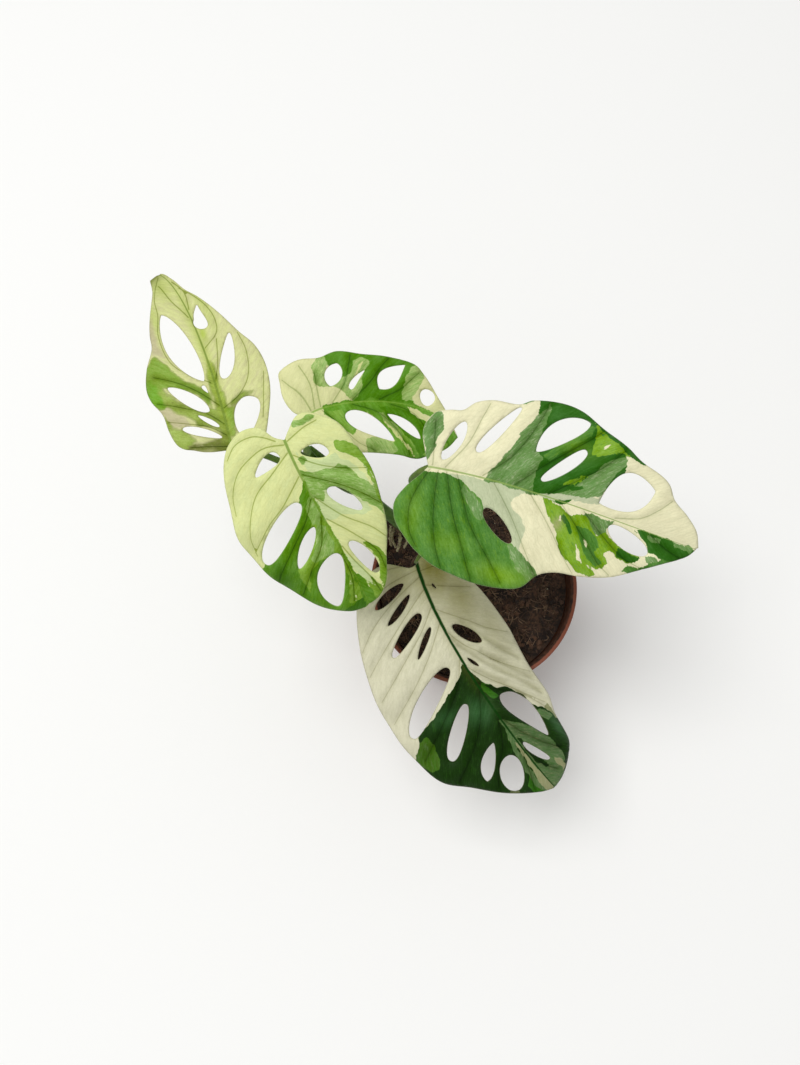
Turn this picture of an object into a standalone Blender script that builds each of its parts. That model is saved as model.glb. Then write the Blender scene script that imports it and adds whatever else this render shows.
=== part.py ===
"""A young Swiss cheese vine with five variegated leaves, growing in a round nursery pot.

The sizes below are millimetres and degrees, and the meshes are made in metres. The origin is the
centre of the pot's flat base, +Z is up, and the long front leaf hangs over the rim towards -Y.
"""

import math
from bisect import bisect_right
from dataclasses import dataclass

import bmesh
import bpy
from mathutils import Vector
from mathutils.geometry import delaunay_2d_cdt, interpolate_bezier

MM = 0.001
GAP = 0.3  # clearance between pieces that touch

# Pot
POT_HEIGHT = 108.0
POT_TOP_RADIUS = 60.0
POT_BASE_RADIUS = 42.5
POT_WALL = 1.6
POT_FLOOR = 2.2
COLLAR_HEIGHT = 15.0
COLLAR_STEP = 2.0
COLLAR_SLOPE = 1.2
LIP_HEIGHT = 2.0
LIP_STEP = 0.8
BASE_CHAMFER = 1.5
EDGE_ROUNDING = 0.5
POT_SIDES = 48
SOIL_SIDES = 24
DRAIN_HOLES = 8
DRAIN_HOLE_RADIUS = 4.0
DRAIN_RING_RADIUS = 29.0
DRAIN_HOLE_SIDES = 12

# Soil
SOIL_TOP = 99.5
SOIL_MOUND = 3.0
SOIL_RINGS = 9
SOIL_BUMP = 1.1

# Vine, which stands in a plain hole in the soil
VINE_ROUTE = (
    (-22.0, 11.0, 70.0),
    (-22.5, 12.0, 88.0),
    (-24.5, 13.5, 106.0),
    (-29.5, 16.0, 127.0),
    (-38.0, 18.5, 148.0),
    (-48.7, 21.5, 167.6),
    (-65.4, 28.0, 191.7),
    (-80.2, 33.9, 214.0),
    (-86.0, 36.5, 223.0),
)
VINE_RADIUS = 3.2
VINE_TIP_RADIUS = 0.9
NODE_SWELLING = 0.7
NODE_SPREAD = 2.2
LEAF_NODE_HEIGHTS = (112.0, 124.0, 180.0, 188.0, 207.0)

# Leaf stalks and blades
STALK_FOOT_RADIUS = 2.5
STALK_RADIUS = 1.6
STALK_KNEE_RADIUS = 1.9
STALK_SHEATH_LENGTH = 14.0
STALK_KNEE_LENGTH = 9.0
BLADE_THICKNESS = 0.8
RIB_DEPTH = 2.2  # thickness at the midrib next to the stalk
RIB_HALF_WIDTH = 1.8
RIB_THINNING = 0.85  # share of its extra depth that the rib loses by the tip
RIB_END = 6.0  # the rib stops this far short of the tip
STALK_JOINT = 3.0  # length of the narrow part of the blade at the stalk

# Spacing of the points along a blade's margin, inside the blade and along a tube
MARGIN_STEP = 5.5
INNER_STEP = 8.0
TUBE_STEP = 5.5
ROW_SHARE = 0.87  # row spacing of a triangular grid, as a share of its point spacing

# Aerial roots, from a node of the vine down into the soil
ROOT_RADIUS = 1.1
ROOT_ROUTES = (
    ((-24.5, 13.5, 110.5), (-16.5, 14.5, 109.0), (-13.0, 15.5, 102.0), (-12.5, 16.0, 91.0)),
    ((-28.5, 16.0, 122.5), (-35.0, 11.0, 117.0), (-36.5, 9.0, 106.0), (-36.5, 8.5, 92.0)),
)


@dataclass(frozen=True)
class Finish:
    """A plain surface colour, given as linear red, green and blue."""

    name: str
    colour: tuple
    roughness: float


@dataclass(frozen=True)
class Hole:
    """A hole in a blade: a slot of an egg-like outline that may bend sideways.

    `along` and `across` place its middle on the flat blade, `turn` is the angle from the midrib to
    its long axis, `bow` bends it, `fat` widens its far end and `point` above 1 sharpens both ends.
    """

    along: float
    across: float
    length: float
    width: float
    turn: float
    bow: float = 0.0
    fat: float = 0.0
    point: float = 1.0

    def outline(self, step):
        """Return the closed outline as flat points about `step` apart."""
        count = max(10, 2 * round((self.length + self.width) / step))
        cos_turn = math.cos(math.radians(self.turn))
        sin_turn = math.sin(math.radians(self.turn))
        points = []
        for i in range(count):
            angle = 2.0 * math.pi * i / count
            rise = math.copysign(abs(math.sin(angle)) ** self.point, math.sin(angle))
            u = self.length / 2.0 * math.cos(angle)
            v = self.width / 2.0 * rise * (1.0 + self.fat * math.cos(angle))
            v += self.bow * math.sin(angle) ** 2
            points.append(Vector((self.along + u * cos_turn - v * sin_turn,
                                  self.across + u * sin_turn + v * cos_turn)))
        return points


@dataclass(frozen=True)
class Leaf:
    """One leaf: its flat blade, how the blade is carried in space, and the route of its stalk.

    `spine` holds the four control points of the midrib's curve. `left` and `right` are the margin
    from the notch at the stalk to the tip, as (along, across) on the flat blade, looking from the
    stalk to the tip with the upper face up. Each half leaves the midrib at its own fold angle,
    upwards where positive, and curls down by its own number of degrees for each millimetre.
    """

    name: str
    spine: tuple
    left: tuple
    right: tuple
    notch: tuple
    tip: tuple
    holes: tuple
    stalk: tuple
    fold: tuple = (8.0, 8.0)
    curl: tuple = (0.6, 0.6)
    facing: tuple = (0.0, -0.31, 0.95)
    wave: float = 0.8
    wave_length: float = 26.0


FRONT_LEAF = Leaf(
    name="front",
    spine=((-34, -4, 162), (-23, -44, 149), (28, -104, 121), (42, -115, 106)),
    fold=(-30.0, 8.0),
    curl=(0.35, 0.5),
    notch=(0, 0),
    tip=(147, -1),
    left=((-3, 4), (-4, 10), (-2, 16), (4, 23), (15, 28), (34, 35.5), (60, 39.5), (85, 37), (108, 36.5),
          (120, 32), (131, 30), (140, 28), (146, 24), (148.5, 17), (149, 8)),
    right=((1, -4), (-1, -9), (-4, -16), (-2, -25), (8, -36), (22, -43), (44, -50), (66, -53),
           (92, -51), (106, -46), (117, -35), (131, -21), (143, -7)),
    holes=(
        Hole(11.0, -19.5, 20.0, 5.0, 290, point=1.2),
        Hole(18.5, -17.5, 19.5, 3.5, 300, bow=0.5, point=1.2),
        Hole(31.5, -19.5, 27.0, 6.0, 300, fat=-0.2, point=0.8),
        Hole(39.0, -13.0, 18.0, 3.0, 310, fat=-0.2),
        Hole(67.0, -27.0, 42.5, 10.0, 300, bow=-1.0, point=0.8),
        Hole(88.0, -23.0, 32.0, 8.0, 311, fat=0.1, point=0.8),
        Hole(111.0, -18.5, 21.5, 7.5, 315, bow=-1.0, fat=0.2, point=1.4),
        Hole(123.5, -12.5, 20.5, 13.0, 335, bow=-0.5),
        Hole(105.0, 13.5, 40.0, 12.0, 15, bow=3.0, fat=-0.4, point=1.2),
        Hole(124.0, 6.0, 21.0, 4.0, 20, bow=-0.5, point=0.9),
        Hole(47.0, 11.5, 21.0, 7.0, 35, point=1.1),
        Hole(61.5, 5.5, 8.5, 2.0, 25, point=1.3),
    ),
    stalk=((-26.0, 14.2, 113.0), (-21.0, 12.5, 124.0), (-20.0, 12.0, 140.0), (-25.0, 9.0, 151.0),
           (-31.0, 3.0, 156.5), (-33.9, -2.6, 158.3)),
)

RIGHT_LEAF = Leaf(
    name="right",
    spine=((-28, 23, 231), (13, 17, 228), (58, 2, 215), (102, -7, 198)),
    curl=(0.5, 0.5),
    notch=(-2, 0),
    tip=(139, 1),
    left=((-5, 8), (-7, 15), (-6, 21), (-2, 26), (4, 28), (9, 29), (14, 34), (21, 37), (32, 38),
          (38, 42), (50, 45), (62, 44), (75, 39), (87, 35), (96, 31), (107, 28), (113, 25),
          (118, 19), (127, 14), (135, 8)),
    right=((-5, -4), (-11, -11), (-15, -19), (-13.5, -27), (-8.5, -33.5), (-1, -40.5), (9, -45.5),
           (20, -48), (35, -49.7), (48, -48.5), (58, -45), (64, -37), (72, -33), (85, -31), (98, -27),
           (110, -20), (123, -12), (134, -5)),
    holes=(
        Hole(7.5, 14.0, 20.5, 6.5, 70, bow=-0.5, point=1.1),
        Hole(26.0, 24.0, 29.5, 5.0, 60, fat=-0.3, point=0.8),
        Hole(55.5, 29.5, 30.0, 10.5, 45, bow=2.5, fat=0.1, point=1.4),
        Hole(59.5, 16.5, 26.0, 6.0, 50, bow=-0.5, fat=0.1, point=0.8),
        Hole(94.0, 12.5, 29.0, 18.5, 30, bow=2.0, fat=0.2, point=1.8),
        Hole(101.5, -7.0, 24.0, 9.0, 345, bow=-0.5),
        Hole(37.0, -20.0, 21.0, 7.0, 325, fat=-0.1, point=0.9),
    ),
    stalk=((-28.5, 16.5, 124.0), (-23.5, 20.5, 136.0), (-26.0, 25.0, 165.0), (-34.0, 25.0, 195.0),
           (-37.5, 23.5, 213.0), (-33.5, 23.6, 223.5), (-28.4, 24.0, 228.2)),
)

BACK_LEAF = Leaf(
    name="back",
    spine=((-87, 57, 217), (-82, 62, 217), (-43, 74, 212), (-17, 62, 195)),
    curl=(0.8, 0.8),
    notch=(-2, 0),
    tip=(84, -4),
    left=((-6, 4), (-7, 9), (-6, 15), (-3, 21), (0, 26), (4, 27), (11, 25), (19, 27), (29, 24),
          (40, 23), (51, 21), (56, 16.5), (65, 8), (76, 1)),
    right=((-3, -5), (-2, -10), (2, -16), (10, -22), (20, -25), (34, -26), (52, -26), (68, -25),
           (76, -20), (82, -12)),
    holes=(
        Hole(15.5, 15.0, 12.0, 7.5, 65, point=1.4),
        Hole(25.5, 11.0, 11.5, 2.5, 50, bow=0.5, fat=-0.6, point=0.8),
        Hole(41.5, 13.0, 17.5, 8.5, 50, bow=0.5, fat=-0.5, point=1.7),
        Hole(59.5, 6.0, 8.5, 7.5, 120, bow=-0.5, point=1.1),
        Hole(31.5, -12.5, 31.5, 9.0, 335, fat=-0.5, point=1.1),
        Hole(52.0, -10.5, 24.5, 5.0, 340, fat=0.1, point=1.5),
    ),
    stalk=((-57.3, 24.8, 180.0), (-64.5, 34.0, 187.0), (-75.5, 45.0, 199.0), (-83.5, 54.0, 209.0),
           (-87.0, 58.0, 213.5)),
)

MIDDLE_LEAF = Leaf(
    name="middle",
    spine=((-95, 29, 244), (-85, 7, 232), (-69, -12, 214), (-59, -30, 185)),
    curl=(0.7, 0.7),
    notch=(-2, 0),
    tip=(95, -2),
    left=((-6, 4), (-10, 9), (-10, 14), (-6, 20), (0, 26), (12, 29), (27, 31), (41, 29), (56, 25),
          (71, 18), (83, 13), (91, 6.5)),
    right=((-5, -4), (-11, -8), (-13, -14), (-12, -20), (-7, -27), (4, -33), (16, -37), (31, -41),
           (45, -39), (59, -35), (73, -28), (86, -20), (93.5, -10)),
    holes=(
        Hole(5.5, -12.0, 14.5, 5.5, 290, bow=-0.5, fat=-0.5, point=0.8),
        Hole(9.0, 10.5, 13.0, 6.5, 65, bow=1.0, fat=0.2, point=1.2),
        Hole(35.5, 13.0, 19.5, 7.0, 30, bow=0.5, fat=-0.2),
        Hole(66.5, 8.0, 22.5, 7.0, 14, bow=0.5, point=0.9),
        Hole(37.0, -21.0, 35.0, 10.0, 305, bow=-1.0, point=0.8),
        Hole(48.5, -14.0, 22.5, 6.0, 315, bow=-0.5, fat=-0.1, point=1.2),
        Hole(72.5, -9.0, 31.5, 13.5, 340, bow=-3.0, fat=-0.2, point=1.1),
    ),
    stalk=((-75.6, 32.0, 207.0), (-83.5, 29.5, 219.0), (-91.0, 30.0, 231.5), (-95.1, 31.0, 240.7)),
)

LEFT_LEAF = Leaf(
    name="left",
    spine=((-126, 41, 214), (-127, 51, 216), (-149, 125, 222), (-169, 138, 214)),
    curl=(0.7, 0.7),
    notch=(-2, 0),
    tip=(111, 5),
    left=((-2, 3), (-2, 9), (-1, 15), (2, 21.5), (7, 26), (17, 29), (27, 30), (37, 34), (46, 35),
          (56, 31), (66, 25), (75, 23), (85, 19), (95, 14), (102, 10), (107, 8)),
    right=((-5, -4), (-6, -9), (-4, -14), (2, -18), (12, -22), (24, -26), (36, -27), (46, -25),
           (55, -20), (69, -14), (82, -8), (90, -4), (100, -1)),
    holes=(
        Hole(60.0, 9.0, 46.5, 13.0, 10, bow=2.5, point=1.5),
        Hole(71.0, -5.0, 14.0, 6.0, 355, bow=1.5, fat=-0.6),
        Hole(45.5, -10.0, 24.0, 7.0, 335, bow=-0.5, fat=-0.4),
        Hole(12.5, -11.5, 19.5, 12.0, 335, bow=1.0, fat=0.2, point=0.8),
        Hole(32.5, 5.5, 5.0, 1.6, 20, fat=0.6, point=0.8),
        Hole(30.5, 15.0, 26.5, 6.5, 40, fat=-0.2, point=1.2),
        Hole(15.5, 8.0, 12.5, 2.5, 45, fat=-0.2, point=1.1),
        Hole(10.5, 12.5, 21.0, 4.5, 60, fat=0.2),
    ),
    stalk=((-62.8, 27.0, 188.0), (-69.0, 25.5, 195.5), (-77.5, 28.5, 199.5), (-92.7, 32.1, 204.7),
           (-108.6, 37.7, 209.0), (-119.5, 41.0, 208.6), (-125.9, 42.1, 210.4)),
)

LEAVES = (FRONT_LEAF, RIGHT_LEAF, BACK_LEAF, MIDDLE_LEAF, LEFT_LEAF)

TERRACOTTA = Finish("terracotta plastic", (0.250, 0.082, 0.047), 0.45)
PEAT = Finish("peat", (0.022, 0.012, 0.008), 0.95)
VINE_GREEN = Finish("vine green", (0.045, 0.120, 0.016), 0.45)
STALK_GREEN = Finish("stalk green", (0.060, 0.170, 0.020), 0.40)
ROOT_BROWN = Finish("root brown", (0.170, 0.095, 0.045), 0.80)
LEAF_GREEN = Finish("leaf green and cream", (0.330, 0.440, 0.160), 0.38)


def clear_scene():
    """Remove every object, so that the model starts from an empty scene."""
    for item in list(bpy.data.objects):
        bpy.data.objects.remove(item, do_unlink=True)


def material(finish):
    """Return the Principled material of a finish, made once."""
    found = bpy.data.materials.get(finish.name)
    if found:
        return found
    made = bpy.data.materials.new(finish.name)
    made.use_nodes = True
    shader = made.node_tree.nodes["Principled BSDF"]
    shader.inputs["Base Color"].default_value = (*finish.colour, 1.0)
    shader.inputs["Roughness"].default_value = finish.roughness
    made.diffuse_color = (*finish.colour, 1.0)
    return made


def add_mesh(name, bm, finish):
    """Turn a bmesh in millimetres into a named object in metres and return it."""
    bmesh.ops.scale(bm, vec=(MM, MM, MM), verts=bm.verts)
    mesh = bpy.data.meshes.new(name)
    bm.to_mesh(mesh)
    bm.free()
    mesh.shade_smooth()
    mesh.set_sharp_from_angle(angle=math.radians(40.0))
    made = bpy.data.objects.new(name, mesh)
    made.data.materials.append(material(finish))
    bpy.context.scene.collection.objects.link(made)
    return made


def as_cutter(tool):
    """Hide an object that only cuts others."""
    tool.hide_render = True
    tool.display_type = "WIRE"
    return tool


def cut(target, tool):
    """Take one object's volume out of another with a live Boolean."""
    boolean = target.modifiers.new("cut by " + tool.name, "BOOLEAN")
    boolean.operation = "DIFFERENCE"
    boolean.solver = "EXACT"
    boolean.object = tool


def smooth_line(points, step):
    """Return points about `step` apart on a smooth curve through the given points.

    The curve is a Catmull-Rom spline whose two end points are kept.
    """
    points = [Vector(point) for point in points]
    padded = [2.0 * points[0] - points[1]] + points + [2.0 * points[-1] - points[-2]]
    fine = []
    for before, start, end, after in zip(padded, padded[1:], padded[2:], padded[3:]):
        reach = (end - start).length
        towards_end = (end - before).normalized() * reach / 3.0
        towards_start = (after - start).normalized() * reach / 3.0
        fine += interpolate_bezier(start.to_3d(), (start + towards_end).to_3d(),
                                   (end - towards_start).to_3d(), end.to_3d(), 13)[:-1]
    fine.append(points[-1].to_3d())
    travelled = running_lengths(fine)
    count = max(2, round(travelled[-1] / step))
    spaced = [read_along(fine, travelled, travelled[-1] * i / count) for i in range(count + 1)]
    return [point.resized(len(points[0])) for point in spaced] if len(points[0]) == 2 else spaced


def running_lengths(points):
    """Return the distance travelled along a line at each of its points."""
    travelled = [0.0]
    for start, end in zip(points, points[1:]):
        travelled.append(travelled[-1] + (end - start).length)
    return travelled


def read_along(points, travelled, distance):
    """Return the point that lies `distance` along a line."""
    i = min(max(bisect_right(travelled, distance) - 1, 0), len(points) - 2)
    span = travelled[i + 1] - travelled[i]
    return points[i].lerp(points[i + 1], (distance - travelled[i]) / span)


def bell(distance, spread):
    """Return a smooth bump of height 1 that fades over `spread`."""
    return math.exp(-((distance / spread) ** 2))


def turned_solid(profile, sides):
    """Return a bmesh made by spinning a closed (radius, height) profile about Z."""
    bm = bmesh.new()
    corners = [bm.verts.new((radius, 0.0, height)) for radius, height in profile]
    edges = [bm.edges.new(pair) for pair in zip(corners, corners[1:] + corners[:1])]
    bmesh.ops.spin(bm, geom=corners + edges, cent=(0, 0, 0), axis=(0, 0, 1),
                   angle=2.0 * math.pi, steps=sides, use_merge=True)
    bmesh.ops.remove_doubles(bm, verts=bm.verts, dist=0.0001)
    bmesh.ops.dissolve_degenerate(bm, edges=bm.edges, dist=0.0001)
    bmesh.ops.recalc_face_normals(bm, faces=bm.faces)
    return bm


def pot_outer_radius(height):
    """Return the pot's outer radius at a height, without the collar's step."""
    share = height / POT_HEIGHT
    return POT_BASE_RADIUS + (POT_TOP_RADIUS - COLLAR_STEP - POT_BASE_RADIUS) * share


def pot_inner_radius(height):
    """Return the radius of the pot's inside at a height."""
    return pot_outer_radius(height) - POT_WALL


def make_pot():
    """Make the tapered nursery pot with its collar, lip and drain holes."""
    collar_foot = POT_HEIGHT - COLLAR_HEIGHT
    lip_foot = POT_HEIGHT - LIP_HEIGHT
    profile = [
        (0.0, 0.0),
        (POT_BASE_RADIUS - BASE_CHAMFER, 0.0),
        (POT_BASE_RADIUS, BASE_CHAMFER),
        (pot_outer_radius(collar_foot), collar_foot),
        (pot_outer_radius(collar_foot) + COLLAR_STEP, collar_foot + COLLAR_SLOPE),
        (POT_TOP_RADIUS - LIP_STEP, lip_foot),
        (POT_TOP_RADIUS, lip_foot + EDGE_ROUNDING),
        (POT_TOP_RADIUS, POT_HEIGHT - EDGE_ROUNDING),
        (POT_TOP_RADIUS - EDGE_ROUNDING, POT_HEIGHT),
        (pot_inner_radius(POT_HEIGHT) + EDGE_ROUNDING, POT_HEIGHT),
        (pot_inner_radius(POT_HEIGHT), POT_HEIGHT - EDGE_ROUNDING),
        (pot_inner_radius(POT_FLOOR) - EDGE_ROUNDING, POT_FLOOR),
        (0.0, POT_FLOOR),
    ]
    pot = add_mesh("pot", turned_solid(profile, POT_SIDES), TERRACOTTA)
    drill = bmesh.new()
    for i in range(DRAIN_HOLES):
        angle = 2.0 * math.pi * (i + 0.5) / DRAIN_HOLES
        made = bmesh.ops.create_cone(drill, cap_ends=True, segments=DRAIN_HOLE_SIDES, depth=4.0 * POT_FLOOR,
                                     radius1=DRAIN_HOLE_RADIUS, radius2=DRAIN_HOLE_RADIUS)
        place = (DRAIN_RING_RADIUS * math.cos(angle), DRAIN_RING_RADIUS * math.sin(angle), 0.0)
        bmesh.ops.translate(drill, vec=place, verts=made["verts"])
    cut(pot, as_cutter(add_mesh("drain_drill", drill, TERRACOTTA)))


def soil_height(x, y):
    """Return the height of the soil's uneven top, a low mound with soft clods."""
    share = math.hypot(x, y) / pot_inner_radius(SOIL_TOP)
    mound = SOIL_MOUND * (1.0 - share * share)
    clods = math.sin(0.31 * x + 0.7) * math.cos(0.27 * y - 0.4)
    clods += 0.6 * math.sin(0.53 * x - 0.41 * y + 1.9)
    return SOIL_TOP + mound + SOIL_BUMP * clods * (1.0 - share ** 4)


def make_soil(holes):
    """Make the soil that fills the pot, with plain holes for what stands in it."""
    floor = POT_FLOOR + GAP
    top_radius = pot_inner_radius(SOIL_TOP) - GAP
    profile = [(0.0, floor), (pot_inner_radius(floor) - EDGE_ROUNDING - GAP, floor)]
    profile += [(top_radius * (1.0 - i / SOIL_RINGS), SOIL_TOP) for i in range(SOIL_RINGS + 1)]
    bm = turned_solid(profile, SOIL_SIDES)
    for corner in bm.verts:
        if corner.co.z > SOIL_TOP - 1.0:
            corner.co.z = soil_height(corner.co.x, corner.co.y)
    bmesh.ops.triangulate(bm, faces=bm.faces)
    soil = add_mesh("soil", bm, PEAT)
    for hole in holes:
        cut(soil, hole)


def make_tube(name, route, radius_at, finish, sides=10):
    """Make a closed tube along a smooth curve through a route.

    `radius_at` gives the radius for a distance from the start, a length and a height.
    """
    centres = smooth_line(route, TUBE_STEP)
    travelled = running_lengths(centres)
    bm = bmesh.new()
    side = Vector((1.0, 0.0, 0.0))
    rings = []
    for i, centre in enumerate(centres):
        ahead = centres[min(i + 1, len(centres) - 1)] - centres[max(i - 1, 0)]
        ahead.normalize()
        side = (side - side.dot(ahead) * ahead).normalized()
        other = ahead.cross(side)
        radius = radius_at(travelled[i], travelled[-1], centre.z)
        ring = []
        for k in range(sides):
            angle = 2.0 * math.pi * k / sides
            ring.append(bm.verts.new(centre + radius * (math.cos(angle) * side + math.sin(angle) * other)))
        rings.append(ring)
    edges = []
    for ring in rings:
        edges.append([bm.edges.new(pair) for pair in zip(ring, ring[1:] + ring[:1])])
    for lower, upper in zip(edges, edges[1:]):
        bmesh.ops.bridge_loops(bm, edges=lower + upper)
    bm.faces.new(reversed(rings[0]))
    bm.faces.new(rings[-1])
    bmesh.ops.recalc_face_normals(bm, faces=bm.faces)
    return add_mesh(name, bm, finish)


def vine_radius(distance, length, height):
    """Return the vine's radius: it thins to its bud and swells at each leaf's node."""
    thinning = max(0.0, (distance - 0.72 * length) / (0.28 * length))
    radius = VINE_RADIUS - (VINE_RADIUS - VINE_TIP_RADIUS) * thinning ** 2
    return radius + NODE_SWELLING * sum(bell(height - node, NODE_SPREAD) for node in LEAF_NODE_HEIGHTS)


def stalk_radius(distance, length, height):
    """Return a stalk's radius: wide at its sheath and again at the knee under the blade."""
    sheath = (STALK_FOOT_RADIUS - STALK_RADIUS) * bell(distance, STALK_SHEATH_LENGTH)
    knee = (STALK_KNEE_RADIUS - STALK_RADIUS) * bell(length - distance, STALK_KNEE_LENGTH)
    return STALK_RADIUS + sheath + knee


def root_radius(distance, length, height):
    """Return an aerial root's radius, which is thinner at its end."""
    return ROOT_RADIUS * (1.0 - 0.35 * distance / length)


def widened(radius_at):
    """Return a radius rule with the clearance added."""
    return lambda distance, length, height: radius_at(distance, length, height) + GAP


def with_longer_start(route, extra):
    """Return a route whose first point is moved back along its own direction."""
    start, second = Vector(route[0]), Vector(route[1])
    return (start + (start - second).normalized() * extra, *route[1:])


def make_vine_and_roots():
    """Make the vine and its aerial roots, and return the cutters that clear them."""
    make_tube("vine", VINE_ROUTE, vine_radius, VINE_GREEN)
    around_vine = as_cutter(make_tube("around_vine", with_longer_start(VINE_ROUTE, GAP),
                                      widened(vine_radius), VINE_GREEN))
    clearances = [around_vine]
    for number, route in enumerate(ROOT_ROUTES, start=1):
        root = make_tube(f"aerial_root_{number}", route, root_radius, ROOT_BROWN, sides=8)
        cut(root, around_vine)
        deeper = tuple(reversed(with_longer_start(tuple(reversed(route)), GAP)))
        around_root = make_tube(f"around_root_{number}", deeper, widened(root_radius), ROOT_BROWN, sides=8)
        clearances.append(as_cutter(around_root))
    return clearances


class BladeShape:
    """Carries points of a leaf's flat blade to their places in space."""

    SPINE_SAMPLES = 120

    def __init__(self, leaf):
        self.leaf = leaf
        controls = [Vector(point) for point in leaf.spine]
        self.spine = interpolate_bezier(*controls, self.SPINE_SAMPLES)
        self.travelled = running_lengths(self.spine)
        self.facing = Vector(leaf.facing)
        self.half_width = max(across for along, across in leaf.left)

    def frame(self, along):
        """Return the midrib's place, its left side and its upper normal at a distance."""
        held = min(max(along, 0.0), self.travelled[-1])
        ahead = read_along(self.spine, self.travelled, min(held + 1.0, self.travelled[-1]))
        behind = read_along(self.spine, self.travelled, max(held - 1.0, 0.0))
        forward = (ahead - behind).normalized()
        place = read_along(self.spine, self.travelled, held) + forward * (along - held)
        normal = (self.facing - self.facing.dot(forward) * forward).normalized()
        return place, normal.cross(forward), normal

    def place(self, along, across):
        """Return the place in space of a point on the flat blade's upper face."""
        place, left, normal = self.frame(along)
        half = 0 if across >= 0.0 else 1
        reach = abs(across)
        fold = math.radians(self.leaf.fold[half])
        curl = math.radians(self.leaf.curl[half])
        out = (math.sin(fold) - math.sin(fold - curl * reach)) / curl
        lift = (math.cos(fold - curl * reach) - math.cos(fold)) / curl
        ripple = math.sin(2.0 * math.pi * along / self.leaf.wave_length + 1.3 * half)
        lift += self.leaf.wave * ripple * (reach / self.half_width) ** 2
        return place + left * math.copysign(out, across) + normal * lift


def flat_margin(leaf, step):
    """Return the blade's flat outline as one closed loop of points."""
    left = smooth_line((leaf.notch, *leaf.left, leaf.tip), step)
    right = smooth_line((leaf.notch, *leaf.right, leaf.tip), step)
    return left[:-1] + right[:0:-1]


def is_inside(point, loop):
    """Tell whether a flat point lies inside a closed loop."""
    inside = False
    for start, end in zip(loop, loop[1:] + loop[:1]):
        if (start.y > point.y) != (end.y > point.y):
            crossing = start.x + (point.y - start.y) * (end.x - start.x) / (end.y - start.y)
            inside ^= point.x < crossing
    return inside


def clearance(point, loops):
    """Return the distance from a flat point to the nearest loop corner."""
    return min((point - corner).length for loop in loops for corner in loop)


def rib_points(leaf, loops):
    """Return flat points along the midrib and beside it, with each one's share of the rib."""
    points = []
    along = 0.0
    while along < leaf.tip[0] - RIB_END:
        share = 1.0 - RIB_THINNING * along / leaf.tip[0]
        room = 0.35 * INNER_STEP * (0.5 if along < STALK_JOINT else 1.0)
        for across, weight in ((0.0, share), (RIB_HALF_WIDTH, 0.0), (-RIB_HALF_WIDTH, 0.0)):
            point = Vector((along, across))
            if clearance(point, loops) > room:
                points.append((point, weight))
        along += MARGIN_STEP
    return points


def filling_points(loops, taken):
    """Return a staggered grid of flat points that fills the blade between its loops."""
    margin = loops[0]
    lowest = Vector((min(p.x for p in margin), min(p.y for p in margin)))
    highest = Vector((max(p.x for p in margin), max(p.y for p in margin)))
    rows = int((highest.y - lowest.y) / (ROW_SHARE * INNER_STEP)) + 1
    columns = int((highest.x - lowest.x) / INNER_STEP) + 2
    points = []
    for row in range(rows):
        for column in range(columns):
            point = lowest + INNER_STEP * Vector((column + 0.5 * (row % 2), ROW_SHARE * row))
            if not is_inside(point, margin) or any(is_inside(point, hole) for hole in loops[1:]):
                continue
            if clearance(point, loops + [taken]) > 0.55 * INNER_STEP:
                points.append(point)
    return points


def make_blade(leaf):
    """Make a leaf's blade: one thin sheet with its holes and a raised rib below."""
    loops = [flat_margin(leaf, MARGIN_STEP)]
    loops += [hole.outline(MARGIN_STEP) for hole in leaf.holes]
    ribs = rib_points(leaf, loops)
    filling = filling_points(loops, [point for point, _weight in ribs])
    corners = [corner for loop in loops for corner in loop]
    edges = []
    first = 0
    for loop in loops:
        edges += [(first + i, first + (i + 1) % len(loop)) for i in range(len(loop))]
        first += len(loop)
    points = corners + [point for point, _weight in ribs] + filling
    weights = [0.0] * len(corners) + [weight for _point, weight in ribs] + [0.0] * len(filling)
    flat, _edges, faces, origins, _edge_origins, _face_origins = delaunay_2d_cdt(points, edges, [], 1, 1e-5)

    shape = BladeShape(leaf)
    bm = bmesh.new()
    rib_layer = bm.verts.layers.deform.verify()
    placed = [bm.verts.new(shape.place(point.x, point.y)) for point in flat]
    for corner, sources in zip(placed, origins):
        corner[rib_layer][0] = max((weights[source] for source in sources), default=0.0)
    for face in faces:
        middle = sum((flat[i] for i in face), Vector((0.0, 0.0))) / len(face)
        if not any(is_inside(middle, hole) for hole in loops[1:]):
            bm.faces.new([placed[i] for i in face])
    bmesh.ops.delete(bm, geom=[corner for corner in bm.verts if not corner.link_faces], context="VERTS")
    bmesh.ops.recalc_face_normals(bm, faces=bm.faces)
    if sum(face.normal.z for face in bm.faces) < 0.0:
        bmesh.ops.reverse_faces(bm, faces=bm.faces)
    blade = add_mesh("leaf_" + leaf.name, bm, LEAF_GREEN)
    blade.vertex_groups.new(name="rib")
    solid = blade.modifiers.new("thickness", "SOLIDIFY")
    solid.thickness = RIB_DEPTH * MM
    solid.offset = -1.0
    solid.vertex_group = "rib"
    solid.thickness_vertex_group = BLADE_THICKNESS / RIB_DEPTH


def main():
    """Build the whole plant in its pot."""
    clear_scene()
    clearances = make_vine_and_roots()
    make_pot()
    make_soil(clearances)
    for leaf in LEAVES:
        make_blade(leaf)
        stalk = make_tube("stalk_" + leaf.name, leaf.stalk, stalk_radius, STALK_GREEN, sides=8)
        cut(stalk, clearances[0])


main()
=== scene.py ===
"""Looks of a young Swiss cheese vine with five variegated leaves, growing in a round nursery pot.

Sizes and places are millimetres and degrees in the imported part's own frame, and every mesh is made in
metres. A blade is drawn flat first: `along` runs from its stalk to its tip and `across` is positive on
the left of the midrib, looking from the stalk to the tip with the upper face up.
"""

import logging
import math
import random
from bisect import bisect_right
from collections.abc import Callable, Sequence
from dataclasses import dataclass, field
from enum import Enum

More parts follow.
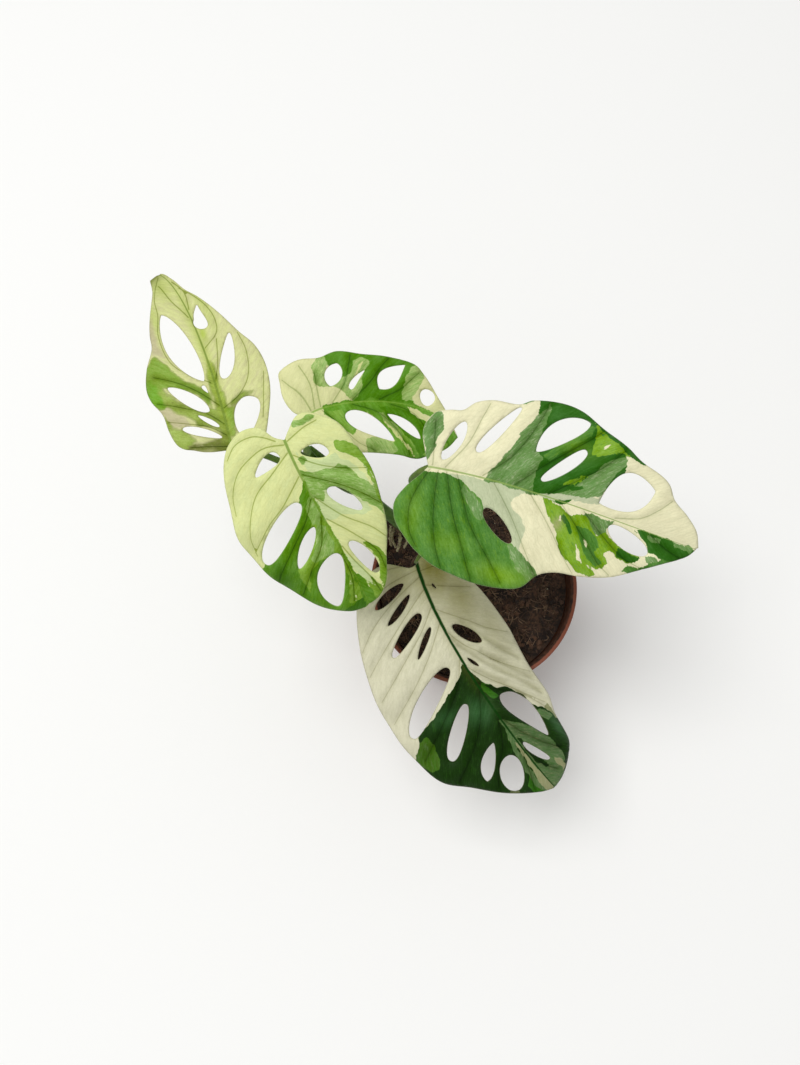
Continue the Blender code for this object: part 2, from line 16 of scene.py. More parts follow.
import bmesh
import bpy
import numpy as np
from mathutils import Matrix, Vector, noise
from mathutils.geometry import delaunay_2d_cdt, interpolate_bezier


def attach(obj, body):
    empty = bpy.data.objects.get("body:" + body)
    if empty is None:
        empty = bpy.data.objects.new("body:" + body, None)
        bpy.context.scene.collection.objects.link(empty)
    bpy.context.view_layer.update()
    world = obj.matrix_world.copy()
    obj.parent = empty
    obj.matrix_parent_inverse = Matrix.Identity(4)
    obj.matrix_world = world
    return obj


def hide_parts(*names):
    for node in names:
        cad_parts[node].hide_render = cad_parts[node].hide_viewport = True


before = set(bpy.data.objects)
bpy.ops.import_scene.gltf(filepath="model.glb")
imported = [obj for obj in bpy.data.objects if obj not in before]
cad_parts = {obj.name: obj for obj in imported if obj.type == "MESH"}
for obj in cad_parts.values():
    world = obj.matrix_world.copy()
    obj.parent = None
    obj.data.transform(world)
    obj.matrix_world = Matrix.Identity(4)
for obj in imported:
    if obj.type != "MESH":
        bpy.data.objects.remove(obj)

LOG = logging.getLogger("plant")
MM = 0.001
BODY = "root"

SEED = 7  # for the random draws and for the vector noise
TOUCHING = 0.0001  # millimetres, within which two corners are one
CURVE_POINTS = 13  # on each stretch of a smooth line, before it is spaced evenly

Flat = tuple[float, float]
Spot = tuple[float, float, float]
Colour = tuple[int, int, int]
Relief = Callable[[int, float], float]  # the radius' factor for a ring's number and an angle in radians


def linear(colour: Colour) -> tuple[float, float, float, float]:
    """Return a display colour, 0 to 255 a channel, as opaque linear light."""
    shares = (channel / 255.0 for channel in colour)
    return (*(share / 12.92 if share < 0.04 else ((share + 0.055) / 1.055) ** 2.4 for share in shares), 1.0)


class Value:
    """A number made by a shader node, on which maths can be written plainly."""

    def __init__(self, graph: "Graph", socket: bpy.types.NodeSocket) -> None:
        """Keep the graph and the socket that the number comes from."""
        self.graph = graph
        self.socket = socket

    def __add__(self, other: "Value | float") -> "Value":
        """Return this plus other."""
        return self.graph.maths("ADD", self, other)

    __radd__ = __add__

    def __sub__(self, other: "Value | float") -> "Value":
        """Return this less other."""
        return self.graph.maths("SUBTRACT", self, other)

    def __rsub__(self, other: float) -> "Value":
        """Return other less this."""
        return self.graph.maths("SUBTRACT", other, self)

    def __mul__(self, other: "Value | float") -> "Value":
        """Return this times other."""
        return self.graph.maths("MULTIPLY", self, other)

    __rmul__ = __mul__

    def __truediv__(self, other: "Value | float") -> "Value":
        """Return this divided by other."""
        return self.graph.maths("DIVIDE", self, other)

    def clamped(self) -> "Value":
        """Return this kept between 0 and 1."""
        return self.graph.maths("MINIMUM", self.graph.maths("MAXIMUM", self, 0.0), 1.0)

    def step(self, low: float, high: float) -> "Value":
        """Return a ramp from 0 at low to 1 at high, level beyond them."""
        made = self.graph.node("ShaderNodeMapRange", {"clamp": True},
                               {"Value": self, "From Min": low, "From Max": high})
        return Value(self.graph, made.outputs["Result"])


class Graph:
    """The node tree of one material."""

    def __init__(self, name: str) -> None:
        """Start a material with its Principled shader.

        Args:
            name: The material's name.
        """
        self.material = bpy.data.materials.new(name)
        self.material.use_nodes = True
        self.nodes = self.material.node_tree.nodes
        self.links = self.material.node_tree.links
        self.shader = self.nodes["Principled BSDF"]

    def node(self, kind: str, settings: dict | None = None, sockets: dict | None = None) -> bpy.types.Node:
        """Add a node.

        Args:
            kind: The node's type.
            settings: Its own settings, set first.
            sockets: Values or links for its inputs, by name or number.

        Returns:
            The new node.
        """
        made = self.nodes.new(kind)
        for setting, value in (settings or {}).items():
            setattr(made, setting, value)
        for socket, value in (sockets or {}).items():
            self.feed(made.inputs[socket], value)
        return made

    def feed(self, socket: bpy.types.NodeSocket, value: object) -> None:
        """Link a value to a socket, or set the socket's own value.

        Args:
            socket: The input to feed.
            value: A Value, an output socket, or plain numbers.
        """
        if isinstance(value, Value):
            self.links.new(value.socket, socket)
        elif isinstance(value, bpy.types.NodeSocket):
            self.links.new(value, socket)
        else:
            socket.default_value = value

    def maths(self, operation: str, first: "Value | float", second: "Value | float") -> Value:
        """Return the outcome of a Math node on two numbers."""
        made = self.node("ShaderNodeMath", {"operation": operation}, {0: first, 1: second})
        return Value(self, made.outputs[0])

    def attribute(self, name: str) -> Value:
        """Return a number kept on the mesh's points."""
        made = self.node("ShaderNodeAttribute", {"attribute_name": name})
        return Value(self, made.outputs["Fac"])

    def place(self) -> bpy.types.NodeSocket:
        """Return the place on the object, in metres."""
        return self.node("ShaderNodeTexCoord").outputs["Object"]

    def vector(self, x: "Value | float", y: "Value | float", z: "Value | float") -> bpy.types.NodeSocket:
        """Return a vector of three numbers."""
        return self.node("ShaderNodeCombineXYZ", {}, {"X": x, "Y": y, "Z": z}).outputs[0]

    def parts(self, vector: bpy.types.NodeSocket) -> tuple[Value, Value, Value]:
        """Return the three numbers of a vector."""
        made = self.node("ShaderNodeSeparateXYZ", {}, {0: vector})
        return tuple(Value(self, socket) for socket in made.outputs)

    def noise(self, where: bpy.types.NodeSocket, scale: float, detail: float = 2.0,
              roughness: float = 0.5) -> Value:
        """Return soft noise from 0 to 1.

        Args:
            where: The vector that it is read at.
            scale: Its number of features in one unit of that vector.
            detail: Its number of finer layers.
            roughness: How strong the finer layers are.

        Returns:
            The noise.
        """
        made = self.node("ShaderNodeTexNoise", {}, {
            "Vector": where, "Scale": scale, "Detail": detail, "Roughness": roughness})
        return Value(self, made.outputs["Fac"])

    def cells(self, where: bpy.types.NodeSocket, scale: float) -> Value:
        """Return the distance to the walls of a field of random cells."""
        made = self.node("ShaderNodeTexVoronoi", {"feature": "DISTANCE_TO_EDGE"},
                         {"Vector": where, "Scale": scale})
        return Value(self, made.outputs["Distance"])

    def mix(self, share: "Value | float", first: object, second: object,
            blend: str = "MIX") -> bpy.types.NodeSocket:
        """Return a mixed colour.

        Args:
            share: How much of the second colour there is.
            first: A colour's socket or its linear numbers.
            second: The same for the second colour.
            blend: The way of mixing.

        Returns:
            The mixed colour's socket.
        """
        made = self.node("ShaderNodeMix", {"data_type": "RGBA", "blend_type": blend},
                         {"Factor": share, 6: first, 7: second})
        return made.outputs[2]

    def bump(self, height: Value, depth: float, strength: float = 1.0) -> None:
        """Feed the shader's normal with a bump.

        Args:
            height: The relief, about 0 to 1.
            depth: Its depth in metres.
            strength: How much of it is used.
        """
        made = self.node("ShaderNodeBump", {}, {"Height": height, "Distance": depth, "Strength": strength})
        self.feed(self.shader.inputs["Normal"], made.outputs[0])

    def dress(self, **sockets: object) -> bpy.types.Material:
        """Feed the shader's inputs, named with _ for each space, and return the material."""
        for name, value in sockets.items():
            self.feed(self.shader.inputs[name.replace("_", " ")], value)
        return self.material


@dataclass(frozen=True)
class PotPlastic:
    """Moulded terracotta-coloured plastic with dusty scuffs, and a darker band on its inside below the rim.
    """

    colour: Colour = (126, 67, 46)
    dusty: Colour = (120, 82, 64)
    # The inner band's dark colour and its lighter specks, and where the band lies.
    dark_band: Colour = (40, 27, 19)
    crumb: Colour = (72, 50, 36)
    band_radius: float = 58.1
    band_height: float = 98.0
    fade_in: float = 0.3
    fade_out: float = 0.1
    fade_up: float = 1.5
    wander: float = 1.2
    cloud_scale: float = 60.0
    scuff_scale: float = 420.0
    bump_depth: float = 0.06

    def build(self) -> bpy.types.Material:
        """Make the material."""
        graph = Graph("terracotta plastic")
        place = graph.place()
        cloudy = graph.noise(place, self.cloud_scale, 3.0)
        scuffs = graph.noise(place, self.scuff_scale, 4.0, 0.6)
        dust = (scuffs * cloudy * 2.2 - 0.45).clamped() * 0.5
        colour = graph.mix(dust, linear(self.colour), linear(self.dusty))
        # A darker brown band with lighter specks lies on the wall's inside, from below the soil's top to the
        # rim.
        band_tone = graph.mix(scuffs.step(0.44, 0.62), linear(self.dark_band), linear(self.crumb))
        inner_band = self.inner_band(graph, place, scuffs) * (cloudy.step(0.3, 0.6) * 0.2 + 0.78)
        colour = graph.mix(inner_band, colour, band_tone)
        graph.bump(scuffs, self.bump_depth * MM, 0.4)
        return graph.dress(Base_Color=colour, Roughness=cloudy * 0.2 + 0.36, Specular_IOR_Level=0.3)

    def inner_band(self, graph: Graph, place: bpy.types.NodeSocket, scuffs: Value) -> Value:
        """Tell where the darker band lies on the wall's inside.

        Args:
            graph: The material's graph.
            place: The place on the pot, in metres.
            scuffs: The noise that makes the band's edge uneven.

        Returns:
            1 on the wall's inside above the band height, and 0 elsewhere.
        """
        across, back, height = graph.parts(place)
        radius = graph.maths("SQRT", across * across + back * back, 0.0)
        inside = 1.0 - (radius + (scuffs - 0.5) * (self.wander * MM)).step(
            (self.band_radius - self.fade_in) * MM, (self.band_radius + self.fade_out) * MM)
        return inside * height.step(self.band_height * MM, (self.band_height + self.fade_up) * MM)


@dataclass(frozen=True)
class Peat:
    """Damp dark peat with lighter crumbs."""

    colour: Colour = (30, 18, 10)
    crumb: Colour = (82, 56, 39)
    grain_scale: float = 700.0
    patch_scale: float = 120.0
    bump_depth: float = 0.8

    def build(self) -> bpy.types.Material:
        """Make the material."""
        graph = Graph("peat")
        place = graph.place()
        grain = graph.noise(place, self.grain_scale, 5.0, 0.65)
        patches = graph.noise(place, self.patch_scale, 3.0)
        colour = graph.mix((grain * patches).step(0.2, 0.38), linear(self.colour), linear(self.crumb))
        graph.bump(grain, self.bump_depth * MM, 0.9)
        return graph.dress(Base_Color=colour, Roughness=0.92)


@dataclass(frozen=True)
class Litter:
    """A matt natural scrap in the soil or on the vine, such as a fibre, a husk or a pale grain."""

    name: str
    colour: Colour
    other: Colour
    tint_scale: float = 160.0
    grain_scale: float = 1500.0
    bump_depth: float = 0.3

    def build(self) -> bpy.types.Material:
        """Make the material."""
        graph = Graph(self.name)
        place = graph.place()
        tint = graph.noise(place, self.tint_scale, 3.0)
        grain = graph.noise(place, self.grain_scale, 2.0)
        colour = graph.mix(tint.step(0.38, 0.62), linear(self.colour), linear(self.other))
        graph.bump(grain, self.bump_depth * MM, 0.7)
        return graph.dress(Base_Color=colour, Roughness=grain * 0.2 + 0.75)


@dataclass(frozen=True)
class StemSkin:
    """Smooth waxy green skin of a stem or stalk, paler where the mesh says so."""

    name: str
    colour: Colour
    shade: Colour
    pale: Colour
    mottle_scale: float = 220.0
    fine_scale: float = 2600.0
    bump_depth: float = 0.15

    def build(self) -> bpy.types.Material:
        """Make the material, which reads the mesh's own `pale` number."""
        graph = Graph(self.name)
        place = graph.place()
        mottle = graph.noise(place, self.mottle_scale, 4.0)
        fine = graph.noise(place, self.fine_scale, 2.0)
        colour = graph.mix(mottle.step(0.35, 0.65), linear(self.colour), linear(self.shade))
        colour = graph.mix(graph.attribute("pale").clamped(), colour, linear(self.pale))
        graph.bump(fine * 0.4 + mottle, self.bump_depth * MM, 0.6)
        return graph.dress(Base_Color=colour, Roughness=mottle * 0.2 + 0.34, Specular_IOR_Level=0.18)


class Tone(Enum):
    """The tones of a variegated blade, each painted over the ones before it."""

    CREAM = "cream"
    PALE = "pale"
    SILVER = "silver"
    LIME = "lime"
    MID = "mid"
    DARK = "dark"


CREAM, PALE, SILVER, LIME, MID, DARK = Tone
PAINTED = (PALE, SILVER, LIME, MID, DARK)
MARBLED = {  # each tone's lighter and darker flecks, and how strong they are
    PALE: (CREAM, SILVER, 0.15),
    SILVER: (PALE, MID, 0.6),
    LIME: (SILVER, MID, 0.65),
    MID: (LIME, DARK, 0.45),
    DARK: (MID, DARK, 0.35),
}
FAR = 9.0  # millimetres, the distance given where a blade has no such patch or crease


@dataclass(frozen=True)
class Palette:
    """The display colours of one blade's tones, its veins and its midrib.

    `softness` is the width in millimetres over which two tones blend, and `ragged` how far noise moves
    their border. `mottle` is how much pale there is in the cream. The two shares say how strongly the
    veins and the midrib are coloured, and `rib_width` is the midrib's half width at the stalk.
    """

    cream: Colour
    pale: Colour
    silver: Colour
    lime: Colour
    mid: Colour
    dark: Colour
    vein: Colour
    rib: Colour
    # The wash colour is the blade's own tint, and on the front blade mostly a painted shadow.
    wash_and_shadow: Colour = (128, 128, 70)
    # The glow colour is the blade's own brighter green, and on the front blade partly a painted sheen.
    bright_tone_and_sheen: Colour = (122, 162, 26)
    softness: float = 0.25
    ragged: float = 2.0
    mottle: float = 0.15
    vein_share: float = 0.4
    rib_width: float = 0.62
    rib_share: float = 0.8

    def of(self, tone: Tone) -> Colour:
        """Return a tone's colour."""
        return getattr(self, tone.value)


@dataclass(frozen=True)
class Streak:
    """Noise on a blade, drawn out along its side veins.

    `along` and `across` are its features in a millimetre, and `layer` sets it apart from the others.
    """

    along: float
    across: float
    layer: float
    detail: float
    roughness: float = 0.5

    def build(self, graph: Graph) -> Value:
        """Return the noise, which reads where the mesh says that a point lies between the veins."""
        flow = graph.attribute("flow") * self.along
        reach = graph.attribute("reach") * self.across
        return graph.noise(graph.vector(flow, reach, self.layer), 1.0, self.detail, self.roughness)


@dataclass(frozen=True)
class LeafSkin:
    """One face of a variegated blade."""

    name: str
    palette: Palette
    under: bool = False
    under_tint: Colour = (170, 190, 140)
    tint_share: float = 0.35
    streaks: Streak = Streak(0.7, 0.12, 0.0, 4.0, 0.6)
    hairs: Streak = Streak(2.4, 0.3, 3.0, 2.0)
    blots: Streak = Streak(0.42, 0.2, 7.0, 4.0, 0.65)
    flecks: Streak = Streak(1.6, 0.42, 5.0, 5.0, 0.7)
    net_along: float = 0.45
    net_across: float = 0.32
    grain_scale: float = 1300.0
    cloud_scale: float = 130.0
    bump_depth: float = 0.25
    upper_roughness: float = 0.36
    under_roughness: float = 0.5

    def build(self) -> bpy.types.Material:
        """Make the material, which reads the tone fields and the vein lines kept on the mesh."""
        graph = Graph(self.name)
        place = graph.place()
        streaks = self.streaks.build(graph)
        hairs = self.hairs.build(graph)
        flecks = self.flecks.build(graph)
        grain = graph.noise(place, self.grain_scale, 3.0)
        cloud = graph.noise(place, self.cloud_scale, 4.0, 0.6)
        cells = graph.vector(graph.attribute("flow") * self.net_along,
                             graph.attribute("reach") * self.net_across, 0.0)
        net = 1.0 - graph.cells(cells, 1.0).step(0.0, 0.1)
        away = graph.attribute("vein")
        green = graph.attribute("silver").step(-0.3, 0.3)

        shift = ((streaks - 0.5) + (grain - 0.5) * 0.35) * self.palette.ragged
        colour = self.toned(graph, shift, self.blots.build(graph), flecks)
        # Glows: the blade's own brighter greens, and on the front blade a painted sheen on the dark green.
        colour = graph.mix(graph.attribute("bright_tone_and_sheen") * (flecks * 0.8 + 0.6), colour, linear(self.palette.bright_tone_and_sheen))
        # Washes: the blade's own tints, and on the front blade a painted shadow of the right leaf over its
        # base.
        colour = graph.mix(graph.attribute("wash_and_shadow") * (cloud * 0.5 + 0.75), colour, linear(self.palette.wash_and_shadow))
        colour = self.veined(graph, colour, away, green, net)
        if self.under:
            colour = graph.mix(self.tint_share, colour, linear(self.under_tint))

        # Random tone variation, stronger on the greens, plus painted shade near the veins and painted light
        # between them.
        shade = (hairs - 0.5) * 0.14 + (streaks - 0.5) * 0.24 + (cloud - 0.5) * 0.24 + (grain - 0.5) * 0.14
        shade = shade * (green * 1.6 + 1.0) + (away.step(0.8, 6.5) - 0.35) * (green * 0.2 + 0.02)
        tuned = graph.node("ShaderNodeHueSaturation", {}, {
            "Color": colour, "Value": shade + 1.0, "Saturation": 1.0 - shade * 0.3})
        graph.bump(grain * 0.25 + hairs * 0.45 + cloud * 0.5 - net * 0.25, self.bump_depth * MM, 0.9)
        roughness = self.under_roughness if self.under else self.upper_roughness
        return graph.dress(Base_Color=tuned.outputs[0], Roughness=cloud * 0.2 + roughness,
                           Specular_IOR_Level=0.07)

    def toned(self, graph: Graph, shift: Value, blots: Value, flecks: Value) -> bpy.types.NodeSocket:
        """Paint the tones over the cream, each with its own flecks.

        Args:
            graph: The material's graph.
            shift: How far each border is moved, in millimetres.
            blots: Noise in broad blots.
            flecks: Noise in fine flecks.

        Returns:
            The colour.
        """
        palette = self.palette
        texture = flecks * 0.6 + blots * 0.4
        dark_fleck = texture.step(0.5, 0.62)
        light_fleck = 1.0 - texture.step(0.38, 0.48)
        half = 0.5 * palette.softness
        mottle = blots.step(0.42, 0.66) * palette.mottle
        colour = graph.mix(mottle, linear(palette.cream), linear(palette.pale))
        for tone in PAINTED:
            lighter, darker, share = MARBLED[tone]
            tint = graph.mix(dark_fleck * share, linear(palette.of(tone)), linear(palette.of(darker)))
            tint = graph.mix(light_fleck * share * 0.85, tint, linear(palette.of(lighter)))
            colour = graph.mix((graph.attribute(tone.value) + shift).step(-half, half), colour, tint)
        return colour

    def veined(self, graph: Graph, colour: bpy.types.NodeSocket, away: Value, green: Value,
               net: Value) -> bpy.types.NodeSocket:
        """Draw painted shade in the creases and by the veins, then the veins, fine net, midrib and margin.

        Args:
            graph: The material's graph.
            colour: The colour below them.
            away: The distance to the nearest side vein, in millimetres.
            green: 1 on the green tones and 0 on the pale ones.
            net: 1 on the lines of the fine net.

        Returns:
            The colour.
        """
        palette = self.palette
        # Painted shade darkens the creases and a band beside each vein; the fine line is the veins' colour.
        crease = (1.0 - graph.attribute("crease").step(0.0, 2.4)) * 0.35
        fine = (1.0 - away.step(0.05, 0.5)) * palette.vein_share
        broad = (1.0 - away.step(0.2, 2.8)) * (green * 0.22 + 0.1)
        for share in (crease, fine + broad, net * 0.06):
            colour = graph.mix(share, colour, linear(palette.vein), "MULTIPLY")
        side = graph.maths("ABSOLUTE", graph.attribute("reach"), 0.0) / graph.attribute("girth")
        rib = 1.0 - side.step(0.5 * palette.rib_width, palette.rib_width)
        colour = graph.mix(rib * palette.rib_share, colour, linear(palette.rib))
        edge = 1.0 - graph.attribute("edge").step(0.05, 0.35)
        return graph.mix(edge * 0.35, colour, linear(palette.pale))


def new_object(name: str, bm: bmesh.types.BMesh) -> bpy.types.Object:
    """Put a bmesh, which is freed here, into the scene as an object.

    Args:
        name: The object's name.
        bm: The shape.

    Returns:
        The new object.
    """
    mesh = bpy.data.meshes.new(name)
    bm.to_mesh(mesh)
    bm.free()
    made = bpy.data.objects.new(name, mesh)
    bpy.context.scene.collection.objects.link(made)
    return made


def new_piece(name: str, bm: bmesh.types.BMesh, skins: Sequence[bpy.types.Material],
              replaced: Sequence[str] = (), crease: float = 60.0) -> bpy.types.Object:
    """Turn a bmesh in millimetres into a piece of the plant.

    Args:
        name: The piece's name.
        bm: The shape, which is freed here.
        skins: The piece's materials.
        replaced: The nodes that it stands for.
        crease: The angle above which an edge stays sharp.

    Returns:
        The new object.
    """
    bmesh.ops.scale(bm, vec=(MM, MM, MM), verts=bm.verts)
    piece = new_object(name, bm)
    piece.data.shade_smooth()
    piece.data.set_sharp_from_angle(angle=math.radians(crease))
    for skin in skins:
        piece.data.materials.append(skin)
    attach(piece, BODY)
    if replaced:
        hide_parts(*replaced)
    LOG.info("%s: %d faces before its modifiers", name, len(piece.data.polygons))
    return piece


def smooth_line(points: Sequence[Sequence[float]], step: float) -> list[Vector]:
    """Return evenly spaced points on a smooth curve through the given ones.

    Args:
        points: The points that the curve passes.
        step: About how far apart the new points are.

    Returns:
        Points in space; flat ones have no height.
    """
    spots = [Vector(point).to_3d() for point in points]
    padded = [2.0 * spots[0] - spots[1]] + spots + [2.0 * spots[-1] - spots[-2]]
    fine = []
    for before, start, end, after in zip(padded, padded[1:], padded[2:], padded[3:]):
        reach = (end - start).length / 3.0
        fine += interpolate_bezier(start, start + (end - before).normalized() * reach,
                                   end - (after - start).normalized() * reach, end, CURVE_POINTS)[:-1]
    line = Line(fine + [spots[-1]])
    count = max(2, round(line.length / step))
    return [line.at(line.length * i / count) for i in range(count + 1)]


class Line:
    """A chain of points that can be read by the distance along it."""

    def __init__(self, points: Sequence[Vector]) -> None:
        """Measure the chain."""
        self.points = list(points)
        self.travelled = [0.0]
        for start, end in zip(self.points, self.points[1:]):
            self.travelled.append(self.travelled[-1] + (end - start).length)
        self.length = self.travelled[-1]

    def at(self, distance: float) -> Vector:
        """Return a point of the chain.

        Args:
            distance: How far it is from the start.

        Returns:
            The point.
        """
        i = min(max(bisect_right(self.travelled, distance) - 1, 0), len(self.points) - 2)
        span = self.travelled[i + 1] - self.travelled[i]
        return self.points[i].lerp(self.points[i + 1], (distance - self.travelled[i]) / span)


def bell(distance: float | np.ndarray, spread: float | np.ndarray) -> float | np.ndarray:
    """Return a smooth bump of height 1 that fades over the spread."""
    return np.exp(-((distance / spread) ** 2))


def sweep(bm: bmesh.types.BMesh, centres: Sequence[Vector], radius_at: Callable[[int], float], sides: int,
          side: Vector, relief: Relief | None = None) -> list[list[bmesh.types.BMVert]]:
    """Extrude a circle along a line of centres and close both ends.

    Args:
        bm: The bmesh that takes the tube.
        centres: The line of the tube's middle.
        radius_at: The radius at each centre's number.
        sides: The number of sides.
        side: Where the angle 0 of the first ring points.
        relief: The radius' factor for a centre's number and an angle in radians.

    Returns:
        The rings of vertices, one for each centre.
    """
    places = []
    for i, centre in enumerate(centres):
        ahead = (centres[min(i + 1, len(centres) - 1)] - centres[max(i - 1, 0)]).normalized()
        side = (side - side.dot(ahead) * ahead).normalized()
        turn = Matrix((side, ahead.cross(side), ahead)).transposed().to_4x4()
        places.append(Matrix.Translation(centre) @ turn @ Matrix.Scale(radius_at(i), 4))
    ring = bmesh.ops.create_circle(bm, segments=sides, radius=1.0, matrix=places[0])["verts"]
    edges = list(dict.fromkeys(edge for corner in ring for edge in corner.link_edges))
    rings = [ring]
    ends = [edges]
    for before, after in zip(places, places[1:]):
        made = bmesh.ops.extrude_edge_only(bm, edges=edges)["geom"]
        ring = [item for item in made if isinstance(item, bmesh.types.BMVert)]
        edges = [item for item in made if isinstance(item, bmesh.types.BMEdge)]
        bmesh.ops.transform(bm, matrix=after @ before.inverted(), verts=ring)
        rings.append(ring)
    ends.append(edges)
    if relief:
        for i, (place, ring) in enumerate(zip(places, rings)):
            back = place.inverted()
            for corner in ring:
                local = back @ corner.co
                local.xy *= relief(i, math.atan2(local.y, local.x))
                corner.co = place @ local
    for end in ends:
        bmesh.ops.contextual_create(bm, geom=end)
    faces = list(dict.fromkeys(face for ring in rings for corner in ring for face in corner.link_faces))
    bmesh.ops.recalc_face_normals(bm, faces=faces)
    return rings


def spun(profile: Sequence[Flat], steps: int) -> bmesh.types.BMesh:
    """Return a closed solid made by spinning a (radius, height) profile about Z.

    Args:
        profile: The profile's corners, from the axis and back to it.
        steps: The number of steps round the axis.

    Returns:
        The solid as a bmesh in millimetres.
    """
    bm = bmesh.new()
    corners = [bm.verts.new((radius, 0.0, height)) for radius, height in profile]
    edges = [bm.edges.new(pair) for pair in zip(corners, corners[1:])]
    bmesh.ops.spin(bm, geom=corners + edges, cent=(0, 0, 0), axis=(0, 0, 1), angle=math.tau, steps=steps,
                   use_merge=True)
    bmesh.ops.remove_doubles(bm, verts=bm.verts, dist=TOUCHING)
    bmesh.ops.dissolve_degenerate(bm, edges=bm.edges, dist=TOUCHING)
    bmesh.ops.recalc_face_normals(bm, faces=bm.faces)
    return bm


@dataclass
class Pot:
    """The tapered nursery pot."""

    height: float = 108.0
    top_radius: float = 60.0
    base_radius: float = 42.5
    wall: float = 1.6
    floor: float = 2.2
    collar_height: float = 15.0
    collar_step: float = 2.0
    collar_slope: float = 1.2
    lip_height: float = 2.0
    lip_step: float = 0.8
    lip_slope: float = 0.5
    rim_width: float = 1.9
    base_chamfer: float = 1.5
    foot_recess: float = 0.8
    foot_width: float = 5.0
    rounding: float = 0.45
    rounded_angle: float = 25.0
    sharp_angle: float = 50.0
    sides: int = 144
    drain_holes: int = 8
    drain_radius: float = 4.0
    drain_ring: float = 29.0
    drill_length: float = 8.8

    def outer_radius(self, height: float) -> float:
        """Return the outer radius at a height, without the collar's step."""
        widening = self.top_radius - self.collar_step - self.base_radius
        return self.base_radius + widening * height / self.height

    def inner_radius(self, height: float) -> float:
        """Return the radius of the inside at a height."""
        return self.outer_radius(height) - self.wall

    def profile(self) -> list[Flat]:
        """Return the wall's section, from the middle of the base round to the middle of the floor."""
        collar_foot = self.height - self.collar_height
        lip_foot = self.height - self.lip_height
        foot = self.base_radius - self.base_chamfer
        return [
            (0.0, self.foot_recess),
            (foot - self.foot_width, self.foot_recess),
            (foot - self.foot_width + self.foot_recess, 0.0),
            (foot, 0.0),
            (self.base_radius, self.base_chamfer),
            (self.outer_radius(collar_foot), collar_foot),
            (self.outer_radius(collar_foot) + self.collar_step, collar_foot + self.collar_slope),
            (self.top_radius - self.lip_step, lip_foot),
            (self.top_radius, lip_foot + self.lip_slope),
            (self.top_radius, self.height),
            (self.top_radius - self.rim_width, self.height),
            (self.inner_radius(self.height), self.height - self.rim_width),
            (self.inner_radius(self.floor), self.floor),
            (0.0, self.floor),
        ]

    def build(self) -> None:
        """Make the pot with rounded corners and its drain holes."""
        bm = spun(self.profile(), self.sides)
        corners = [edge for edge in bm.edges if len(edge.link_faces) == 2
                   and edge.calc_face_angle(0.0) > math.radians(self.rounded_angle)]
        bmesh.ops.bevel(bm, geom=corners, offset=self.rounding, offset_type="OFFSET", affect="EDGES",
                        segments=3, profile=0.5, material=-1, clamp_overlap=True)
        pot = new_piece("pot_shell", bm, [PotPlastic().build()], ("pot",), self.sharp_angle)
        self.drill(pot)

    def drill(self, pot: bpy.types.Object) -> None:
        """Cut the drain holes, and keep the outcome as the pot's own mesh.

        Args:
            pot: The pot's object.
        """
        bm = bmesh.new()
        for i in range(self.drain_holes):
            angle = math.tau * (i + 0.5) / self.drain_holes
            place = Vector((math.cos(angle), math.sin(angle), 0.0)) * self.drain_ring
            bmesh.ops.create_cone(bm, cap_ends=True, segments=24, depth=self.drill_length,
                                  radius1=self.drain_radius, radius2=self.drain_radius,
                                  matrix=Matrix.Translation(place))
        bmesh.ops.scale(bm, vec=(MM, MM, MM), verts=bm.verts)
        drill = new_object("drill", bm)
        boolean = pot.modifiers.new("drain holes", "BOOLEAN")
        boolean.operation = "DIFFERENCE"
        boolean.solver = "EXACT"
        boolean.object = drill
        seen = pot.evaluated_get(bpy.context.evaluated_depsgraph_get())
        cut = bpy.data.meshes.new_from_object(seen)
        pot.modifiers.remove(boolean)
        bpy.data.objects.remove(drill, do_unlink=True)
        pot.data = cut
        cut.shade_smooth()
        cut.set_sharp_from_angle(angle=math.radians(self.sharp_angle))


@dataclass(frozen=True)
class Scrap:
    """One kind of scrap on the soil, whose half size lies between `smallest` and `largest` each way."""

    name: str
    count: int
    smallest: float
    largest: float
    skin: Litter


